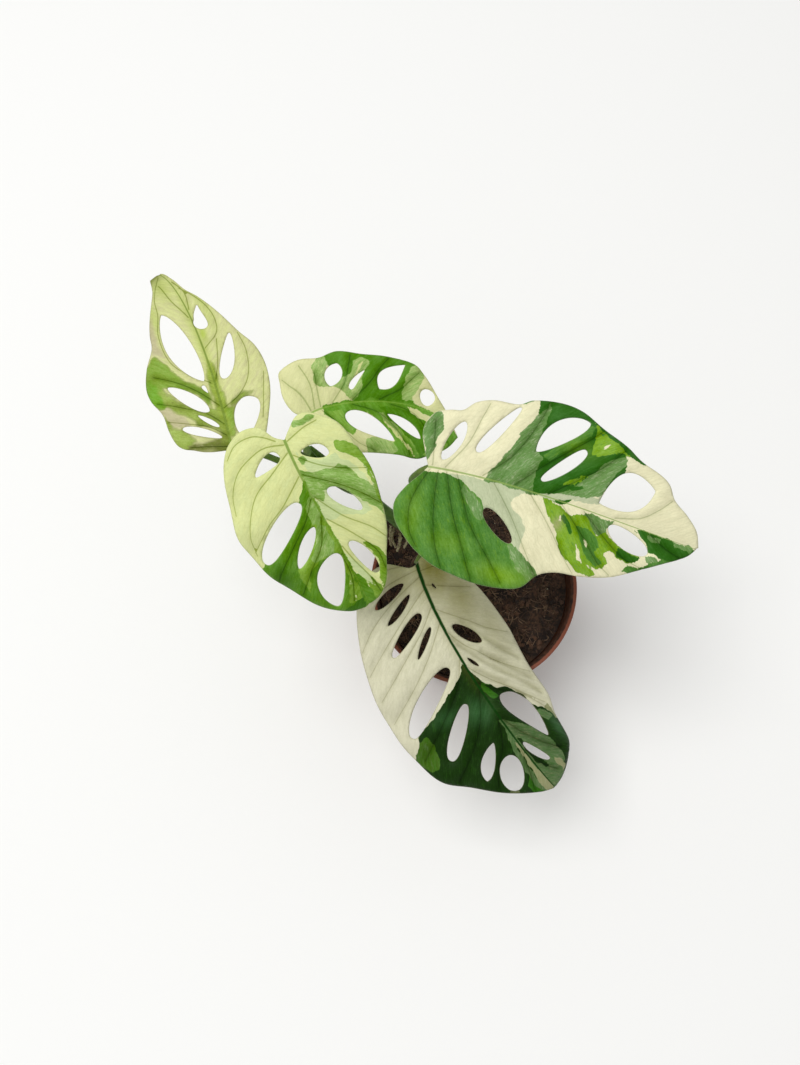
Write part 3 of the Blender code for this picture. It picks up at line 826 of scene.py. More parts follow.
@dataclass
class Soil:
    """The peat, its crumbs, its fibres and its pale grains.

    Each of the `clods` is a wave of the top: its share of the bump's height, its turn in radians a
    millimetre along X and Y, and its start.
    """

    pot: Pot
    top: float = 99.5
    mound: float = 3.0
    bump: float = 1.1
    clods: tuple[tuple[float, float, float, float], ...] = (
        (0.5, 0.31, 0.27, 0.3), (0.5, 0.31, -0.27, 1.1), (0.6, 0.53, -0.41, 1.9))
    crumb_height: float = 0.9
    crumb_size: float = 4.0
    gap: float = 0.3
    foot_gap: float = 0.8
    rings: int = 60
    sides: int = 200
    fibres: int = 760
    fibre_points: int = 6
    fibre_lengths: Flat = (2.5, 9.0)
    fibre_radii: Flat = (0.16, 0.42)
    fibre_lifts: Flat = (-0.15, 0.5)
    fibre_bend: float = 0.3
    fibre_taper: float = 0.12
    fibre_margin: float = 2.6
    wall_margin: float = 1.0
    scraps: tuple[Scrap, ...] = (
        Scrap("soil_crumbs", 820, 0.5, 2.1, Litter("bark crumb", (34, 21, 13), (88, 60, 41))),
        Scrap("soil_grains", 14, 0.4, 0.8, Litter("pale grain", (160, 152, 132), (128, 118, 98))))
    scrap_margin: float = 1.5
    scrap_lift: float = 0.2
    scrap_tilt: float = 0.6
    scrap_wear: float = 0.35
    chunk: int = 20
    seed: int = SEED

    def radius(self) -> float:
        """Return the radius of the soil's top."""
        return self.pot.inner_radius(self.top) - self.gap

    def height(self, x: float, y: float) -> float:
        """Return the height of the top, a low mound with soft clods and fine crumbs.

        Args:
            x: The place across.
            y: The place from front to back.

        Returns:
            The height.
        """
        share = math.hypot(x, y) / self.pot.inner_radius(self.top)
        clods = sum(part * math.sin(turn_x * x + turn_y * y + start)
                    for part, turn_x, turn_y, start in self.clods)
        crumbs = noise.fractal(Vector((x, y, 0.0)) / self.crumb_size, 0.6, 2.1, 5)
        fade = max(0.0, 1.0 - share ** 4)
        return (self.top + self.mound * (1.0 - share * share)
                + (self.bump * clods + self.crumb_height * crumbs) * fade)

    def build(self) -> None:
        """Make the bed and everything that lies in it."""
        self.bed()
        draw = random.Random(self.seed)
        self.scatter_fibres(draw)
        for scrap in self.scraps:
            self.scatter(scrap, draw)

    def bed(self) -> None:
        """Make the body of soil with its uneven top."""
        floor = self.pot.floor + self.gap
        profile = [(0.0, floor), (self.pot.inner_radius(floor) - self.foot_gap, floor)]
        profile += [(self.radius() * (1.0 - i / self.rings), self.top) for i in range(self.rings + 1)]
        bm = spun(profile, self.sides)
        for corner in bm.verts:
            if corner.co.z > self.top - 1.0:
                corner.co.z = self.height(corner.co.x, corner.co.y)
        new_piece("soil_bed", bm, [Peat().build()], ("soil",))

    def spot(self, draw: random.Random, margin: float) -> Vector:
        """Return a random place on the top.

        Args:
            draw: The source of random numbers.
            margin: How far it stays from the wall.

        Returns:
            The place.
        """
        reach = (self.radius() - margin) * math.sqrt(draw.random())
        angle = draw.uniform(0.0, math.tau)
        x, y = reach * math.cos(angle), reach * math.sin(angle)
        return Vector((x, y, self.height(x, y)))

    def scatter_fibres(self, draw: random.Random) -> None:
        """Lay thin curved fibres on the top, a few at a time, because a small bmesh grows faster.

        Args:
            draw: The source of random numbers.
        """
        bm = bmesh.new()
        for first in range(0, self.fibres, self.chunk):
            part = bmesh.new()
            for _number in range(min(self.chunk, self.fibres - first)):
                self.fibre(part, draw)
            mesh = bpy.data.meshes.new("part")
            part.to_mesh(mesh)
            part.free()
            bm.from_mesh(mesh)
            bpy.data.meshes.remove(mesh)
        skin = Litter("soil fibre", (64, 44, 30), (122, 98, 76))
        new_piece("soil_fibres", bm, [skin.build()])

    def fibre(self, bm: bmesh.types.BMesh, draw: random.Random) -> None:
        """Add one curved fibre.

        Args:
            bm: The bmesh that takes it.
            draw: The source of random numbers.
        """
        start = self.spot(draw, self.fibre_margin)
        heading = draw.uniform(0.0, math.tau)
        bend = draw.uniform(-self.fibre_bend, self.fibre_bend)
        step = draw.uniform(*self.fibre_lengths) / (self.fibre_points - 1)
        thickness = draw.uniform(*self.fibre_radii)
        centres = []
        x, y = start.x, start.y
        for _number in range(self.fibre_points):
            lift = thickness + draw.uniform(*self.fibre_lifts)
            if math.hypot(x, y) > self.radius() - self.wall_margin:
                break
            centres.append(Vector((x, y, self.height(x, y) + lift)))
            heading += bend + draw.uniform(-self.fibre_bend, self.fibre_bend)
            x += step * math.cos(heading)
            y += step * math.sin(heading)
        if len(centres) > 2:
            sweep(bm, centres, lambda i: thickness * (1.0 - self.fibre_taper * i), 4, Vector((0.0, 0.0, 1.0)))

    def scatter(self, scrap: Scrap, draw: random.Random) -> None:
        """Scatter one kind of scrap on the top.

        Args:
            scrap: The kind.
            draw: The source of random numbers.
        """
        bm = bmesh.new()
        for _number in range(scrap.count):
            place = self.spot(draw, self.scrap_margin) + Vector((0.0, 0.0, self.scrap_lift))
            size = Vector([draw.uniform(scrap.smallest, scrap.largest) for _axis in range(3)])
            turn = Matrix.Rotation(draw.uniform(0.0, math.tau), 4, "Z") @ Matrix.Rotation(
                draw.uniform(-self.scrap_tilt, self.scrap_tilt), 4, "X")
            made = bmesh.ops.create_icosphere(
                bm, subdivisions=1, radius=1.0,
                matrix=Matrix.Translation(place) @ turn @ Matrix.Diagonal(size).to_4x4())["verts"]
            for corner in made:
                corner.co += noise.noise_vector(corner.co / 1.3) * size.x * self.scrap_wear
        new_piece(scrap.name, bm, [scrap.skin.build()], (), 35.0)


@dataclass
class Vine:
    """The main stem, its nodes, its growing bud and the aerial roots."""

    route: tuple[Spot, ...] = (
        (-22, 11, 70), (-22.5, 12, 88), (-24.5, 13.5, 106), (-29.5, 16, 127),
        (-38, 18.5, 148), (-48.7, 21.5, 167.6), (-65.4, 28, 191.7), (-80.2, 33.9, 214),
        (-86, 36.5, 223))
    radius: float = 3.2
    tip_radius: float = 0.9
    taper_start: float = 0.72
    swelling: float = 0.56
    spread: float = 2.2
    node_heights: tuple[float, ...] = (112.0, 124.0, 180.0, 188.0, 207.0)
    ring_height: float = 0.22
    ring_width: float = 0.7
    ring_rise: float = 1.5
    ridges: int = 5
    ridge_depth: float = 0.035
    bark_depth: float = 0.02
    pale_share: float = 0.55
    pale_spread: float = 0.9
    root_radius: float = 1.1
    root_taper: float = 0.35
    root_knobs: float = 0.12
    roots: tuple[tuple[Spot, ...], ...] = (
        ((-24.5, 13.5, 110.5), (-16.5, 14.5, 109), (-13, 15.5, 102), (-12.5, 16, 91)),
        ((-28.5, 16, 122.5), (-35, 11, 117), (-36.5, 9, 106), (-36.5, 8.5, 92)))

    def build(self) -> None:
        """Make the stem, its sheath, the remnants of older ones and the roots."""
        skin = StemSkin("vine skin", (76, 108, 34), (58, 86, 24), (116, 112, 62)).build()
        self.stem(skin)
        Sheath().build(skin)
        Remnants().build()
        bark = Litter("root bark", (82, 60, 42), (56, 40, 28), 300.0).build()
        for number, route in enumerate(self.roots, start=1):
            self.root(number, route, bark)

    def at_nodes(self, height: float, spread: float) -> float:
        """Return a number that rises to about 1 at each node's height."""
        return sum(bell(height - node, spread) for node in self.node_heights)

    def stem(self, skin: bpy.types.Material) -> None:
        """Make the stem.

        Args:
            skin: Its material.
        """
        centres = smooth_line(self.route, 1.2)
        line = Line(centres)

        def radius_at(i: int) -> float:
            """Return the radius at a centre, with a swelling and a fine ring at each node."""
            share = line.travelled[i] / line.length
            thinning = max(0.0, (share - self.taper_start) / (1.0 - self.taper_start))
            radius = self.radius - (self.radius - self.tip_radius) * thinning ** 2
            ring = self.ring_height * self.at_nodes(centres[i].z - self.ring_rise, self.ring_width)
            return radius + self.swelling * self.at_nodes(centres[i].z, self.spread) + ring

        def relief(i: int, angle: float) -> float:
            """Return the shallow lengthwise ridges of the stem."""
            ridge = math.sin(self.ridges * angle + 3.0 * noise.noise(centres[i] / 9.0))
            around = Vector((math.cos(angle) * 2.0, math.sin(angle) * 2.0, centres[i].z / 3.0))
            return 1.0 + self.ridge_depth * ridge + self.bark_depth * noise.noise(around)

        bm = bmesh.new()
        pale = bm.verts.layers.float.new("pale")
        rings = sweep(bm, centres, radius_at, 20, Vector((1.0, 0.0, 0.0)), relief)
        for centre, ring in zip(centres, rings):
            paleness = self.pale_share * self.at_nodes(centre.z - self.ring_rise, self.pale_spread)
            for corner in ring:
                corner[pale] = paleness
        new_piece("vine_stem", bm, [skin], ("vine",))

    def root(self, number: int, route: tuple[Spot, ...], bark: bpy.types.Material) -> None:
        """Make one aerial root.

        Args:
            number: Its number.
            route: The line of its middle.
            bark: Its material.
        """
        centres = smooth_line(route, 0.9)
        count = len(centres) - 1

        def relief(i: int, angle: float) -> float:
            """Return the root's uneven skin."""
            return 1.0 + self.root_knobs * noise.noise(centres[i] * 0.9 + Vector((angle, 0.0, 0.0)))

        bm = bmesh.new()
        sweep(bm, centres, lambda i: self.root_radius * (1.0 - self.root_taper * i / count), 12,
              Vector((1.0, 0.0, 0.0)), relief)
        new_piece(f"root_{number}", bm, [bark], (f"aerial_root_{number}",))


@dataclass
class Remnants:
    """What is left of old sheaths on the vine, and the short pale root stubs under its middle node."""

    husks: tuple[tuple[Spot, ...], ...] = (
        ((-50.5, 24.6, 166), (-47.4, 21.8, 161.5), (-43.8, 19, 157), (-40.9, 16.4, 152)),
        ((-49.5, 21.8, 160), (-46.6, 19, 155), (-43.3, 15.6, 148)),
        ((-46, 21.5, 156), (-42.5, 17.8, 150), (-40.5, 12.8, 141)),
        ((-49.6, 24, 165), (-50.8, 21.2, 160.5), (-50.6, 17.8, 156), (-49.6, 14, 151)))
    stubs: tuple[tuple[Spot, ...], ...] = (
        ((-45.3, 20.4, 157), (-46.9, 17.6, 153.5), (-47.5, 14, 149), (-45.3, 10.4, 145)),
        ((-43.6, 19.6, 156), (-40.4, 17.6, 153), (-39, 14, 149), (-40.9, 10.2, 144)),
        ((-43.1, 16.6, 152), (-43.1, 13.2, 147), (-44.6, 9.4, 141)),
        ((-47.9, 19.4, 157), (-48.6, 15.4, 151), (-47.8, 11.6, 144)))
    husk_width: float = 3.4
    husk_thickness: float = 0.3
    crumple: float = 0.5
    stub_radius: float = 0.95
    stub_taper: float = 0.35
    knobs: float = 0.28
    grain: float = 0.2

    def build(self) -> None:
        """Make the husks and the stubs."""
        bm = bmesh.new()
        for number, route in enumerate(self.husks):
            centres = smooth_line(route, 0.8)
            count = len(centres) - 1
            sweep(bm, centres, lambda i: self.husk_radius(i / count), 28,
                  Vector((1.0, 0.3, 0.6 - 0.3 * number)), self.husk_relief(centres))
        skin = Litter("dried husk", (48, 34, 24), (84, 62, 42), 500.0)
        new_piece("vine_husks", bm, [skin.build()], (), 50.0)
        bm = bmesh.new()
        for number, route in enumerate(self.stubs):
            centres = smooth_line(route, 0.45)
            count = len(centres) - 1
            sweep(bm, centres, lambda i: self.stub_radius * (1.0 - self.stub_taper * (i / count) ** 3), 14,
                  Vector((1.0, 0.0, 0.0)), self.stub_relief(centres, number))
        skin = Litter("pale root skin", (158, 150, 118), (112, 100, 72), 420.0)
        new_piece("root_stubs", bm, [skin.build()])

    def husk_radius(self, share: float) -> float:
        """Return a husk's half width at a share of its length, narrow at both ends."""
        return self.husk_width * math.sin(math.pi * (0.12 + 0.8 * share)) ** 0.6

    def husk_relief(self, centres: list[Vector]) -> Relief:
        """Return the section of a thin crumpled flap as a factor of its width.

        Args:
            centres: The flap's middle line.

        Returns:
            The relief.
        """
        thin = self.husk_thickness / self.husk_width

        def relief(i: int, angle: float) -> float:
            """Return the factor at a centre and an angle."""
            flat = thin / math.hypot(thin * math.cos(angle), math.sin(angle))
            folds = noise.noise(centres[i] * 0.6 + Vector((math.cos(angle), 0.0, 0.0)))
            return flat * (1.0 + self.crumple * folds)

        return relief

    def stub_relief(self, centres: list[Vector], number: int) -> Relief:
        """Return the knobby skin of a root stub.

        Args:
            centres: The stub's middle line.
            number: Its number, which shifts the knobs.

        Returns:
            The relief.
        """

        def relief(i: int, angle: float) -> float:
            """Return the factor at a centre and an angle."""
            knob = math.sin(i * 0.9 + 1.7 * number) * math.sin(i * 0.37 + number)
            grain = noise.noise(centres[i] * 1.1 + Vector((math.cos(angle), math.sin(angle), 0.0)))
            return 1.0 + self.knobs * knob + self.grain * grain

        return relief


@dataclass
class Sheath:
    """The broad green sheath that wraps the vine's top under the middle leaf."""

    route: tuple[Spot, ...] = (
        (-57.7, 24.4, 178.5), (-65.4, 27.4, 189), (-74.6, 31.2, 200), (-82.6, 34.8, 209),
        (-88.2, 37.4, 216))
    half_width: float = 5.6
    half_depth: float = 2.9
    end_share: float = 0.62
    lap_angle: float = 1.1
    lap_height: float = 0.06
    lap_width: float = 0.25
    ribs: int = 9
    rib_height: float = 0.015
    sides: int = 28
    pale_share: float = 0.35

    def build(self, skin: bpy.types.Material) -> None:
        """Make the sheath.

        Args:
            skin: The vine's material.
        """
        centres = smooth_line(self.route, 1.0)
        count = len(centres) - 1
        depth = self.half_depth / self.half_width

        def radius_at(i: int) -> float:
            """Return the half width at a centre, narrower at both ends."""
            fullness = math.sin(math.pi * min(1.0, 0.1 + 0.75 * i / count)) ** 0.7
            return self.half_width * (self.end_share + (1.0 - self.end_share) * fullness)

        def relief(i: int, angle: float) -> float:
            """Return the flat section with its overlapping edge and its ribs."""
            oval = depth / math.hypot(depth * math.cos(angle), math.sin(angle))
            lap = self.lap_height * bell(angle - self.lap_angle, self.lap_width)
            return oval * (1.0 + lap + self.rib_height * math.sin(self.ribs * angle))

        bm = bmesh.new()
        pale = bm.verts.layers.float.new("pale")
        for ring in sweep(bm, centres, radius_at, self.sides, Vector((0.6, -0.8, 0.0)), relief):
            for number, corner in enumerate(ring):
                corner[pale] = self.pale_share * bell(number - self.sides / 2, 4.0)
        new_piece("vine_sheath", bm, [skin])


@dataclass
class Stalk:
    """A leaf's stalk, with its sheath's two thin wings and the knee under the blade."""

    name: str
    route: tuple[Spot, ...]
    foot_radius: float = 2.5
    radius: float = 1.6
    knee_radius: float = 1.9
    sheath_length: float = 14.0
    knee_length: float = 9.0
    winged_share: float = 0.7
    wing_end: float = 0.12
    wing_angle: float = 0.72
    wing_height: float = 0.34
    wing_width: float = 0.2
    groove_depth: float = 0.28
    groove_width: float = 0.38
    wrinkle_depth: float = 0.03
    wrinkle_turn: float = 3.4
    pale_knee: float = 0.2

    def build(self, skin: bpy.types.Material) -> None:
        """Make the stalk.

        Args:
            skin: The stalks' material.
        """
        centres = smooth_line(self.route, 1.1)
        line = Line(centres)

        def at_knee(i: int, spread: float) -> float:
            """Return a number that rises to 1 at the blade's end."""
            return bell(line.length - line.travelled[i], spread)

        def radius_at(i: int) -> float:
            """Return the radius at a centre, wide at the sheath and the knee."""
            sheath = (self.foot_radius - self.radius) * bell(line.travelled[i], self.sheath_length)
            return self.radius + sheath + (self.knee_radius - self.radius) * at_knee(i, self.knee_length)

        def relief(i: int, angle: float) -> float:
            """Return the groove between the wings, or the fine wrinkles of the knee."""
            winged = min(1.0, max(0.0, (self.winged_share - line.travelled[i] / line.length) / self.wing_end))
            wings = self.wing_height * (bell(angle - self.wing_angle, self.wing_width)
                                        + bell(angle + self.wing_angle, self.wing_width))
            groove = self.groove_depth * bell(angle, self.groove_width)
            wrinkle = self.wrinkle_depth * math.sin(line.travelled[i] * self.wrinkle_turn)
            return 1.0 + winged * (wings - groove) + wrinkle * at_knee(i, self.knee_length * 0.6)

        bm = bmesh.new()
        pale = bm.verts.layers.float.new("pale")
        for i, ring in enumerate(sweep(bm, centres, radius_at, 18, Vector((0.0, 0.0, 1.0)), relief)):
            for corner in ring:
                corner[pale] = self.pale_knee * at_knee(i, self.knee_length)
        new_piece(f"{self.name}_stalk", bm, [skin], (f"stalk_{self.name}",))


@dataclass(frozen=True)
class Hole:
    """A hole in a blade: a slot of an egg-like outline that may bend sideways.

    `along` and `across` place its middle, `turn` is the angle from the midrib to its long axis, `bow`
    bends it, `fat` widens its far end and `point` above 1 sharpens both ends.
    """

    along: float
    across: float
    length: float
    width: float
    turn: float
    bow: float = 0.0
    fat: float = 0.0
    point: float = 1.0

    def outline(self, step: float) -> list[Vector]:
        """Return the closed outline.

        Args:
            step: About how far apart its points are.

        Returns:
            The points.
        """
        count = max(12, 2 * round((self.length + self.width) / step))
        turn = Matrix.Rotation(math.radians(self.turn), 2)
        middle = Vector((self.along, self.across))
        points = []
        for i in range(count):
            angle = math.tau * i / count
            rise = math.copysign(abs(math.sin(angle)) ** self.point, math.sin(angle))
            out = self.length / 2.0 * math.cos(angle)
            bow = self.bow * math.sin(angle) ** 2
            up = self.width / 2.0 * rise * (1.0 + self.fat * math.cos(angle)) + bow
            points.append(middle + turn @ Vector((out, up)))
        return points


@dataclass(frozen=True)
class Patch:
    """A patch of one tone on the flat blade, and its outline's corners, two numbers for each."""

    tone: Tone
    corners: tuple[float, ...]


# On the front blade some washes are a painted shadow and some glows a painted sheen.
@dataclass(frozen=True)
class Wash:
    """A soft spot of colour on the flat blade, strongest at its middle and fading out over its two reaches.

    A share above 0 brings in the palette's wash, and one below 0 its glow.
    """

    along: float
    across: float
    length: float
    width: float
    share: float


def pairs(numbers: Sequence[float]) -> list[Flat]:
    """Return flat points from their numbers, two for each."""
    return list(zip(numbers[::2], numbers[1::2]))


def loop_array(points: Sequence[Sequence[float]]) -> np.ndarray:
    """Return flat points as an array of pairs."""
    return np.array([(point[0], point[1]) for point in points], dtype=float)


def line_distance(points: np.ndarray, line: np.ndarray) -> np.ndarray:
    """Measure how far points lie from a chain of points.

    Args:
        points: The points.
        line: The chain.

    Returns:
        The distances.
    """
    nearest = np.full(len(points), np.inf)
    for start, end in zip(line, line[1:]):
        span = end - start
        share = np.clip(((points - start) @ span) / max(span @ span, 1e-9), 0.0, 1.0)
        nearest = np.minimum(nearest, np.linalg.norm(points - start - share[:, None] * span, axis=1))
    return nearest


def is_inside(points: np.ndarray, loop: np.ndarray) -> np.ndarray:
    """Tell which points lie inside a closed loop.

    Args:
        points: The points.
        loop: The loop's corners.

    Returns:
        True for each point inside.
    """
    inside = np.zeros(len(points), dtype=bool)
    for start, end in zip(loop, np.roll(loop, -1, axis=0)):
        if start[1] != end[1]:
            crosses = (start[1] > points[:, 1]) != (end[1] > points[:, 1])
            where = start[0] + (points[:, 1] - start[1]) * (end[0] - start[0]) / (end[1] - start[1])
            inside ^= crosses & (points[:, 0] < where)
    return inside


def depth_inside(points: np.ndarray, corners: Sequence[float]) -> np.ndarray:
    """Return each point's distance to a closed outline, positive inside and negative outside.

    Args:
        points: The points.
        corners: The outline's corners, two numbers for each.

    Returns:
        The distances.
    """
    loop = loop_array(pairs(corners))
    reach = line_distance(points, np.vstack([loop, loop[:1]]))
    return np.where(is_inside(points, loop), reach, -reach)


@dataclass
class Blade:
    """A leaf's blade, drawn flat with its holes, veins and tones, and carried along its midrib's curve.

    The halves' outlines, the veins and the creases are lines of points, two numbers for each.
    `spine` holds the four control points of the midrib's curve. Each half leaves the midrib at its own
    fold angle, upwards where positive, and curls down by its own number of degrees a millimetre.
    `fold`, `curl` and `pleat` are for the left and the right half, and `wander` and `wander_size` for
    the broad and the fine wavering of the patches' borders. The mesh's clearances and the distance
    between its rows are shares of its step.
    """

    name: str
    spine: tuple[Spot, ...]
    left: tuple[float, ...]
    right: tuple[float, ...]
    notch: Flat
    tip: Flat
    holes: tuple[Hole, ...]
    veins: tuple[tuple[float, ...], ...]
    palette: Palette
    patches: tuple[Patch, ...]
    washes: tuple[Wash, ...] = ()
    creases: tuple[tuple[float, ...], ...] = ()
    crease_depth: float = 0.9
    crease_spread: float = 2.0
    fold: Flat = (8.0, 8.0)
    curl: Flat = (0.6, 0.6)
    facing: Spot = (0.0, -0.31, 0.95)
    wave: float = 0.8
    wave_length: float = 26.0
    wave_shift: float = 1.3
    thickness: float = 0.8
    margin_share: float = 0.55
    margin_width: float = 3.0
    rib_depth: float = 2.2
    vein_depth: float = 0.35
    vein_spread: float = 0.9
    channel_depth: float = 0.4
    roll_depth: float = 0.4
    roll_spread: float = 1.5
    quilt: float = 0.45
    quilt_spread: float = 5.0
    quilt_inset: float = 4.0
    pleat: Flat = (0.08, 0.08)
    pleat_width: float = 7.0
    wander: Flat = (1.0, 0.5)
    wander_size: Flat = (5.0, 2.0)
    step: float = 1.15
    vein_clearance: float = 0.45
    grid_clearance: float = 0.6
    grid_to_vein: float = 0.55
    row_distance: float = 0.866
    _line: Line = field(init=False, repr=False)

    def __post_init__(self) -> None:
        """Measure the midrib's curve."""
        self._line = Line(interpolate_bezier(*[Vector(point) for point in self.spine], 120))

    def carry(self, along: float, across: float) -> Vector:
        """Return the place in space of a point of the flat blade's upper face.

        Args:
            along: How far the point is along the midrib.
            across: How far it is to the left.

        Returns:
            The place.
        """
        held = min(max(along, 0.0), self._line.length)
        ahead = self._line.at(min(held + 1.0, self._line.length))
        forward = (ahead - self._line.at(max(held - 1.0, 0.0))).normalized()
        place = self._line.at(held) + forward * (along - held)
        facing = Vector(self.facing)
        normal = (facing - facing.dot(forward) * forward).normalized()
        left = normal.cross(forward)
        half = 0 if across >= 0.0 else 1
        reach = abs(across)
        fold = math.radians(self.fold[half])
        curl = math.radians(self.curl[half])
        out = (math.sin(fold) - math.sin(fold - curl * reach)) / curl
        lift = (math.cos(fold - curl * reach) - math.cos(fold)) / curl
        half_width = max(self.left[1::2])
        ripple = math.sin(math.tau * along / self.wave_length + self.wave_shift * half)
        lift += self.wave * ripple * (reach / half_width) ** 2
        return place + left * math.copysign(out, across) + normal * lift

    def margin(self) -> list[Vector]:
        """Return the flat outline as one closed loop."""
        left = smooth_line((self.notch, *pairs(self.left), self.tip), self.step)
        right = smooth_line((self.notch, *pairs(self.right), self.tip), self.step)
        return [point.to_2d() for point in left[:-1] + right[:0:-1]]

    def flat_net(self) -> tuple[list[Vector], list[list[int]], list[np.ndarray], list[np.ndarray]]:
        """Return the flat blade's triangles.

        Returns:
            The flat points, the triangles, the outlines and the vein lines.
        """
        loops = [self.margin()] + [hole.outline(self.step) for hole in self.holes]
        outlines = [loop_array(loop) for loop in loops]
        points = []
        edges = []
        for loop in loops:
            first = len(points)
            edges += [(first + i, first + (i + 1) % len(loop)) for i in range(len(loop))]
            points += loop
        chains = [smooth_line(pairs(vein), self.step) for vein in self.veins]
        chains.append(smooth_line(((self.notch[0] + 1.0, 0.0), (self.tip[0] - 3.0, 0.0)), self.step))
        lines = [loop_array(chain) for chain in chains]
        closed = [np.vstack([outline, outline[:1]]) for outline in outlines]
        taken = self.open_points(np.vstack(lines), outlines, closed, self.vein_clearance)
        grid = self.open_points(self.grid(outlines[0]), outlines, closed, self.grid_clearance)
        clear = np.min([line_distance(grid, line) for line in lines], axis=0) > self.grid_to_vein * self.step
        points += [Vector(point) for point in np.vstack([taken, grid[clear]])]
        flat, _edges, faces, _from, _from_edges, _from_faces = delaunay_2d_cdt(points, edges, [], 1, 1e-5)
        middles = np.array([sum((flat[i] for i in face), Vector((0.0, 0.0))) / len(face) for face in faces])
        open_face = np.zeros(len(faces), dtype=bool)
        for outline in outlines[1:]:
            open_face |= is_inside(middles, outline)
        return flat, [face for face, hole in zip(faces, open_face) if not hole], closed, lines

    def grid(self, outline: np.ndarray) -> np.ndarray:
        """Return a staggered grid of flat points.

        Args:
            outline: The outline whose box is filled.

        Returns:
            The points.
        """
        low, high = outline.min(axis=0), outline.max(axis=0)
        rows = np.arange(low[1], high[1], self.row_distance * self.step)
        columns = np.arange(low[0], high[0], self.step)
        along, across = np.meshgrid(columns, rows)
        along[1::2] += self.step / 2.0
        return np.column_stack([along.ravel(), across.ravel()])

    def open_points(self, points: np.ndarray, outlines: list[np.ndarray], closed: list[np.ndarray],
                    share: float) -> np.ndarray:
        """Return the points on the blade that stay clear of its outlines.

        Args:
            points: The points to sift.
            outlines: The margin and the holes.
            closed: The same with the first point repeated at the end.
            share: The clearance as a share of the step.

        Returns:
            The points that stay.
        """
        points = points[is_inside(points, outlines[0])]
        for outline in outlines[1:]:
            points = points[~is_inside(points, outline)]
        clear = np.min([line_distance(points, line) for line in closed], axis=0)
        return points[clear > share * self.step]

    def build(self) -> None:
        """Make the blade as a thin sheet with its relief, and dress both its faces."""
        flat, faces, closed, lines = self.flat_net()
        points = loop_array(flat)
        numbers = self.surface_numbers(points, closed, lines)
        bm = bmesh.new()
        weight = bm.verts.layers.deform.verify()
        layers = {name: bm.verts.layers.float.new(name) for name in numbers if name != "thick"}
        corners = [bm.verts.new(self.carry(along, across)) for along, across in points]
        for face in faces:
            bm.faces.new([corners[i] for i in face])
        for i, corner in enumerate(corners):
            corner[weight][0] = float(numbers["thick"][i])
            for name, layer in layers.items():
                corner[layer] = float(numbers[name][i])
        bmesh.ops.recalc_face_normals(bm, faces=bm.faces)
        if sum(face.normal.z for face in bm.faces) < 0.0:
            bmesh.ops.reverse_faces(bm, faces=bm.faces)
        bm.normal_update()
        for corner, height in zip(corners, self.relief(points, numbers)):
            corner.co += corner.normal * float(height)
        loose = [corner for corner in bm.verts if not corner.link_faces]
        bmesh.ops.delete(bm, geom=loose, context="VERTS")
        upper = LeafSkin(f"{self.name} leaf upper face", self.palette).build()
        under = LeafSkin(f"{self.name} leaf underside", self.palette, True).build()
        blade = new_piece(f"{self.name}_blade", bm, [upper, under],
                          (f"leaf_{self.name}",), 80.0)
        blade.vertex_groups.new(name="thick")
        solid = blade.modifiers.new("thickness", "SOLIDIFY")
        solid.thickness = self.rib_depth * MM
        solid.offset = -1.0
        solid.vertex_group = "thick"
        solid.material_offset = 1

    def surface_numbers(self, points: np.ndarray, closed: list[np.ndarray],
                        lines: list[np.ndarray]) -> dict[str, np.ndarray]:
        """Return what the materials and the modifier read at each point.

        Args:
            points: The flat points.
            closed: The margin and the holes as closed lines.
            lines: The vein lines, the midrib last.

        Returns:
            Arrays by name.
        """
        along, across = points[:, 0], points[:, 1]
        share = np.clip(along / self.tip[0], 0.0, 1.0)
        edge = np.min([line_distance(points, line) for line in closed], axis=0)
        vein = np.min([line_distance(points, line) for line in lines[:-1]], axis=0)
        vein /= 1.0 - 0.55 * np.abs(across) / np.abs(across).max()
        slant = 0.45 + 0.95 * share ** 1.4
        numbers = {"edge": edge, "vein": vein, "girth": 1.0 - 0.75 * share, "reach": across,
                   "flow": along - slant * np.abs(across)}
        rib_shape = bell(across, 1.5 - 0.8 * share) * (1.0 - 0.85 * share)
        full = np.clip(edge / self.margin_width, 0.0, 1.0)
        thin = self.thickness * (self.margin_share + (1.0 - self.margin_share) * full)
        thick = thin + (self.rib_depth - self.thickness) * rib_shape
        numbers["thick"] = np.clip(thick / self.rib_depth, 0.0, 1.0)
        numbers["crease"] = np.full(len(points), FAR)
        for crease in self.creases:
            line = loop_array(smooth_line(pairs(crease), self.step))
            numbers["crease"] = np.minimum(numbers["crease"], line_distance(points, line))
        # Washes and glows are soft tints of the blade's own, and on the front blade painted shadow and sheen.
        numbers["wash_and_shadow"] = np.zeros(len(points))
        numbers["bright_tone_and_sheen"] = np.zeros(len(points))
        for wash_and_shadow in self.washes:
            kind = "wash_and_shadow" if wash_and_shadow.share > 0.0 else "bright_tone_and_sheen"
            fade = bell(along - wash_and_shadow.along, wash_and_shadow.length) * bell(across - wash_and_shadow.across, wash_and_shadow.width)
            numbers[kind] = np.maximum(numbers[kind], abs(wash_and_shadow.share) * fade)
        numbers.update(self.tone_fields(points))
        return numbers

    def tone_fields(self, points: np.ndarray) -> dict[str, np.ndarray]:
        """Tell how deep each point lies inside each painted tone or a darker one.

        Args:
            points: The flat points.

        Returns:
            The depths by the tone's name, negative outside.
        """
        broad, fine = self.wander
        broad_size, fine_size = self.wander_size
        shifts = np.array([noise.noise_vector(Vector((along, across, 0.0)) / broad_size) * broad
                           + noise.noise_vector(Vector((along, across, 9.0)) / fine_size) * fine
                           for along, across in points])
        warped = points + shifts[:, :2]
        ranks = list(Tone)
        fields = {tone.value: np.full(len(points), -FAR) for tone in PAINTED}
        for patch in self.patches:
            depth = depth_inside(warped, patch.corners)
            for tone in PAINTED:
                if ranks.index(patch.tone) >= ranks.index(tone):
                    fields[tone.value] = np.maximum(fields[tone.value], depth)
                else:
                    fields[tone.value] = np.minimum(fields[tone.value], -depth)
        return fields

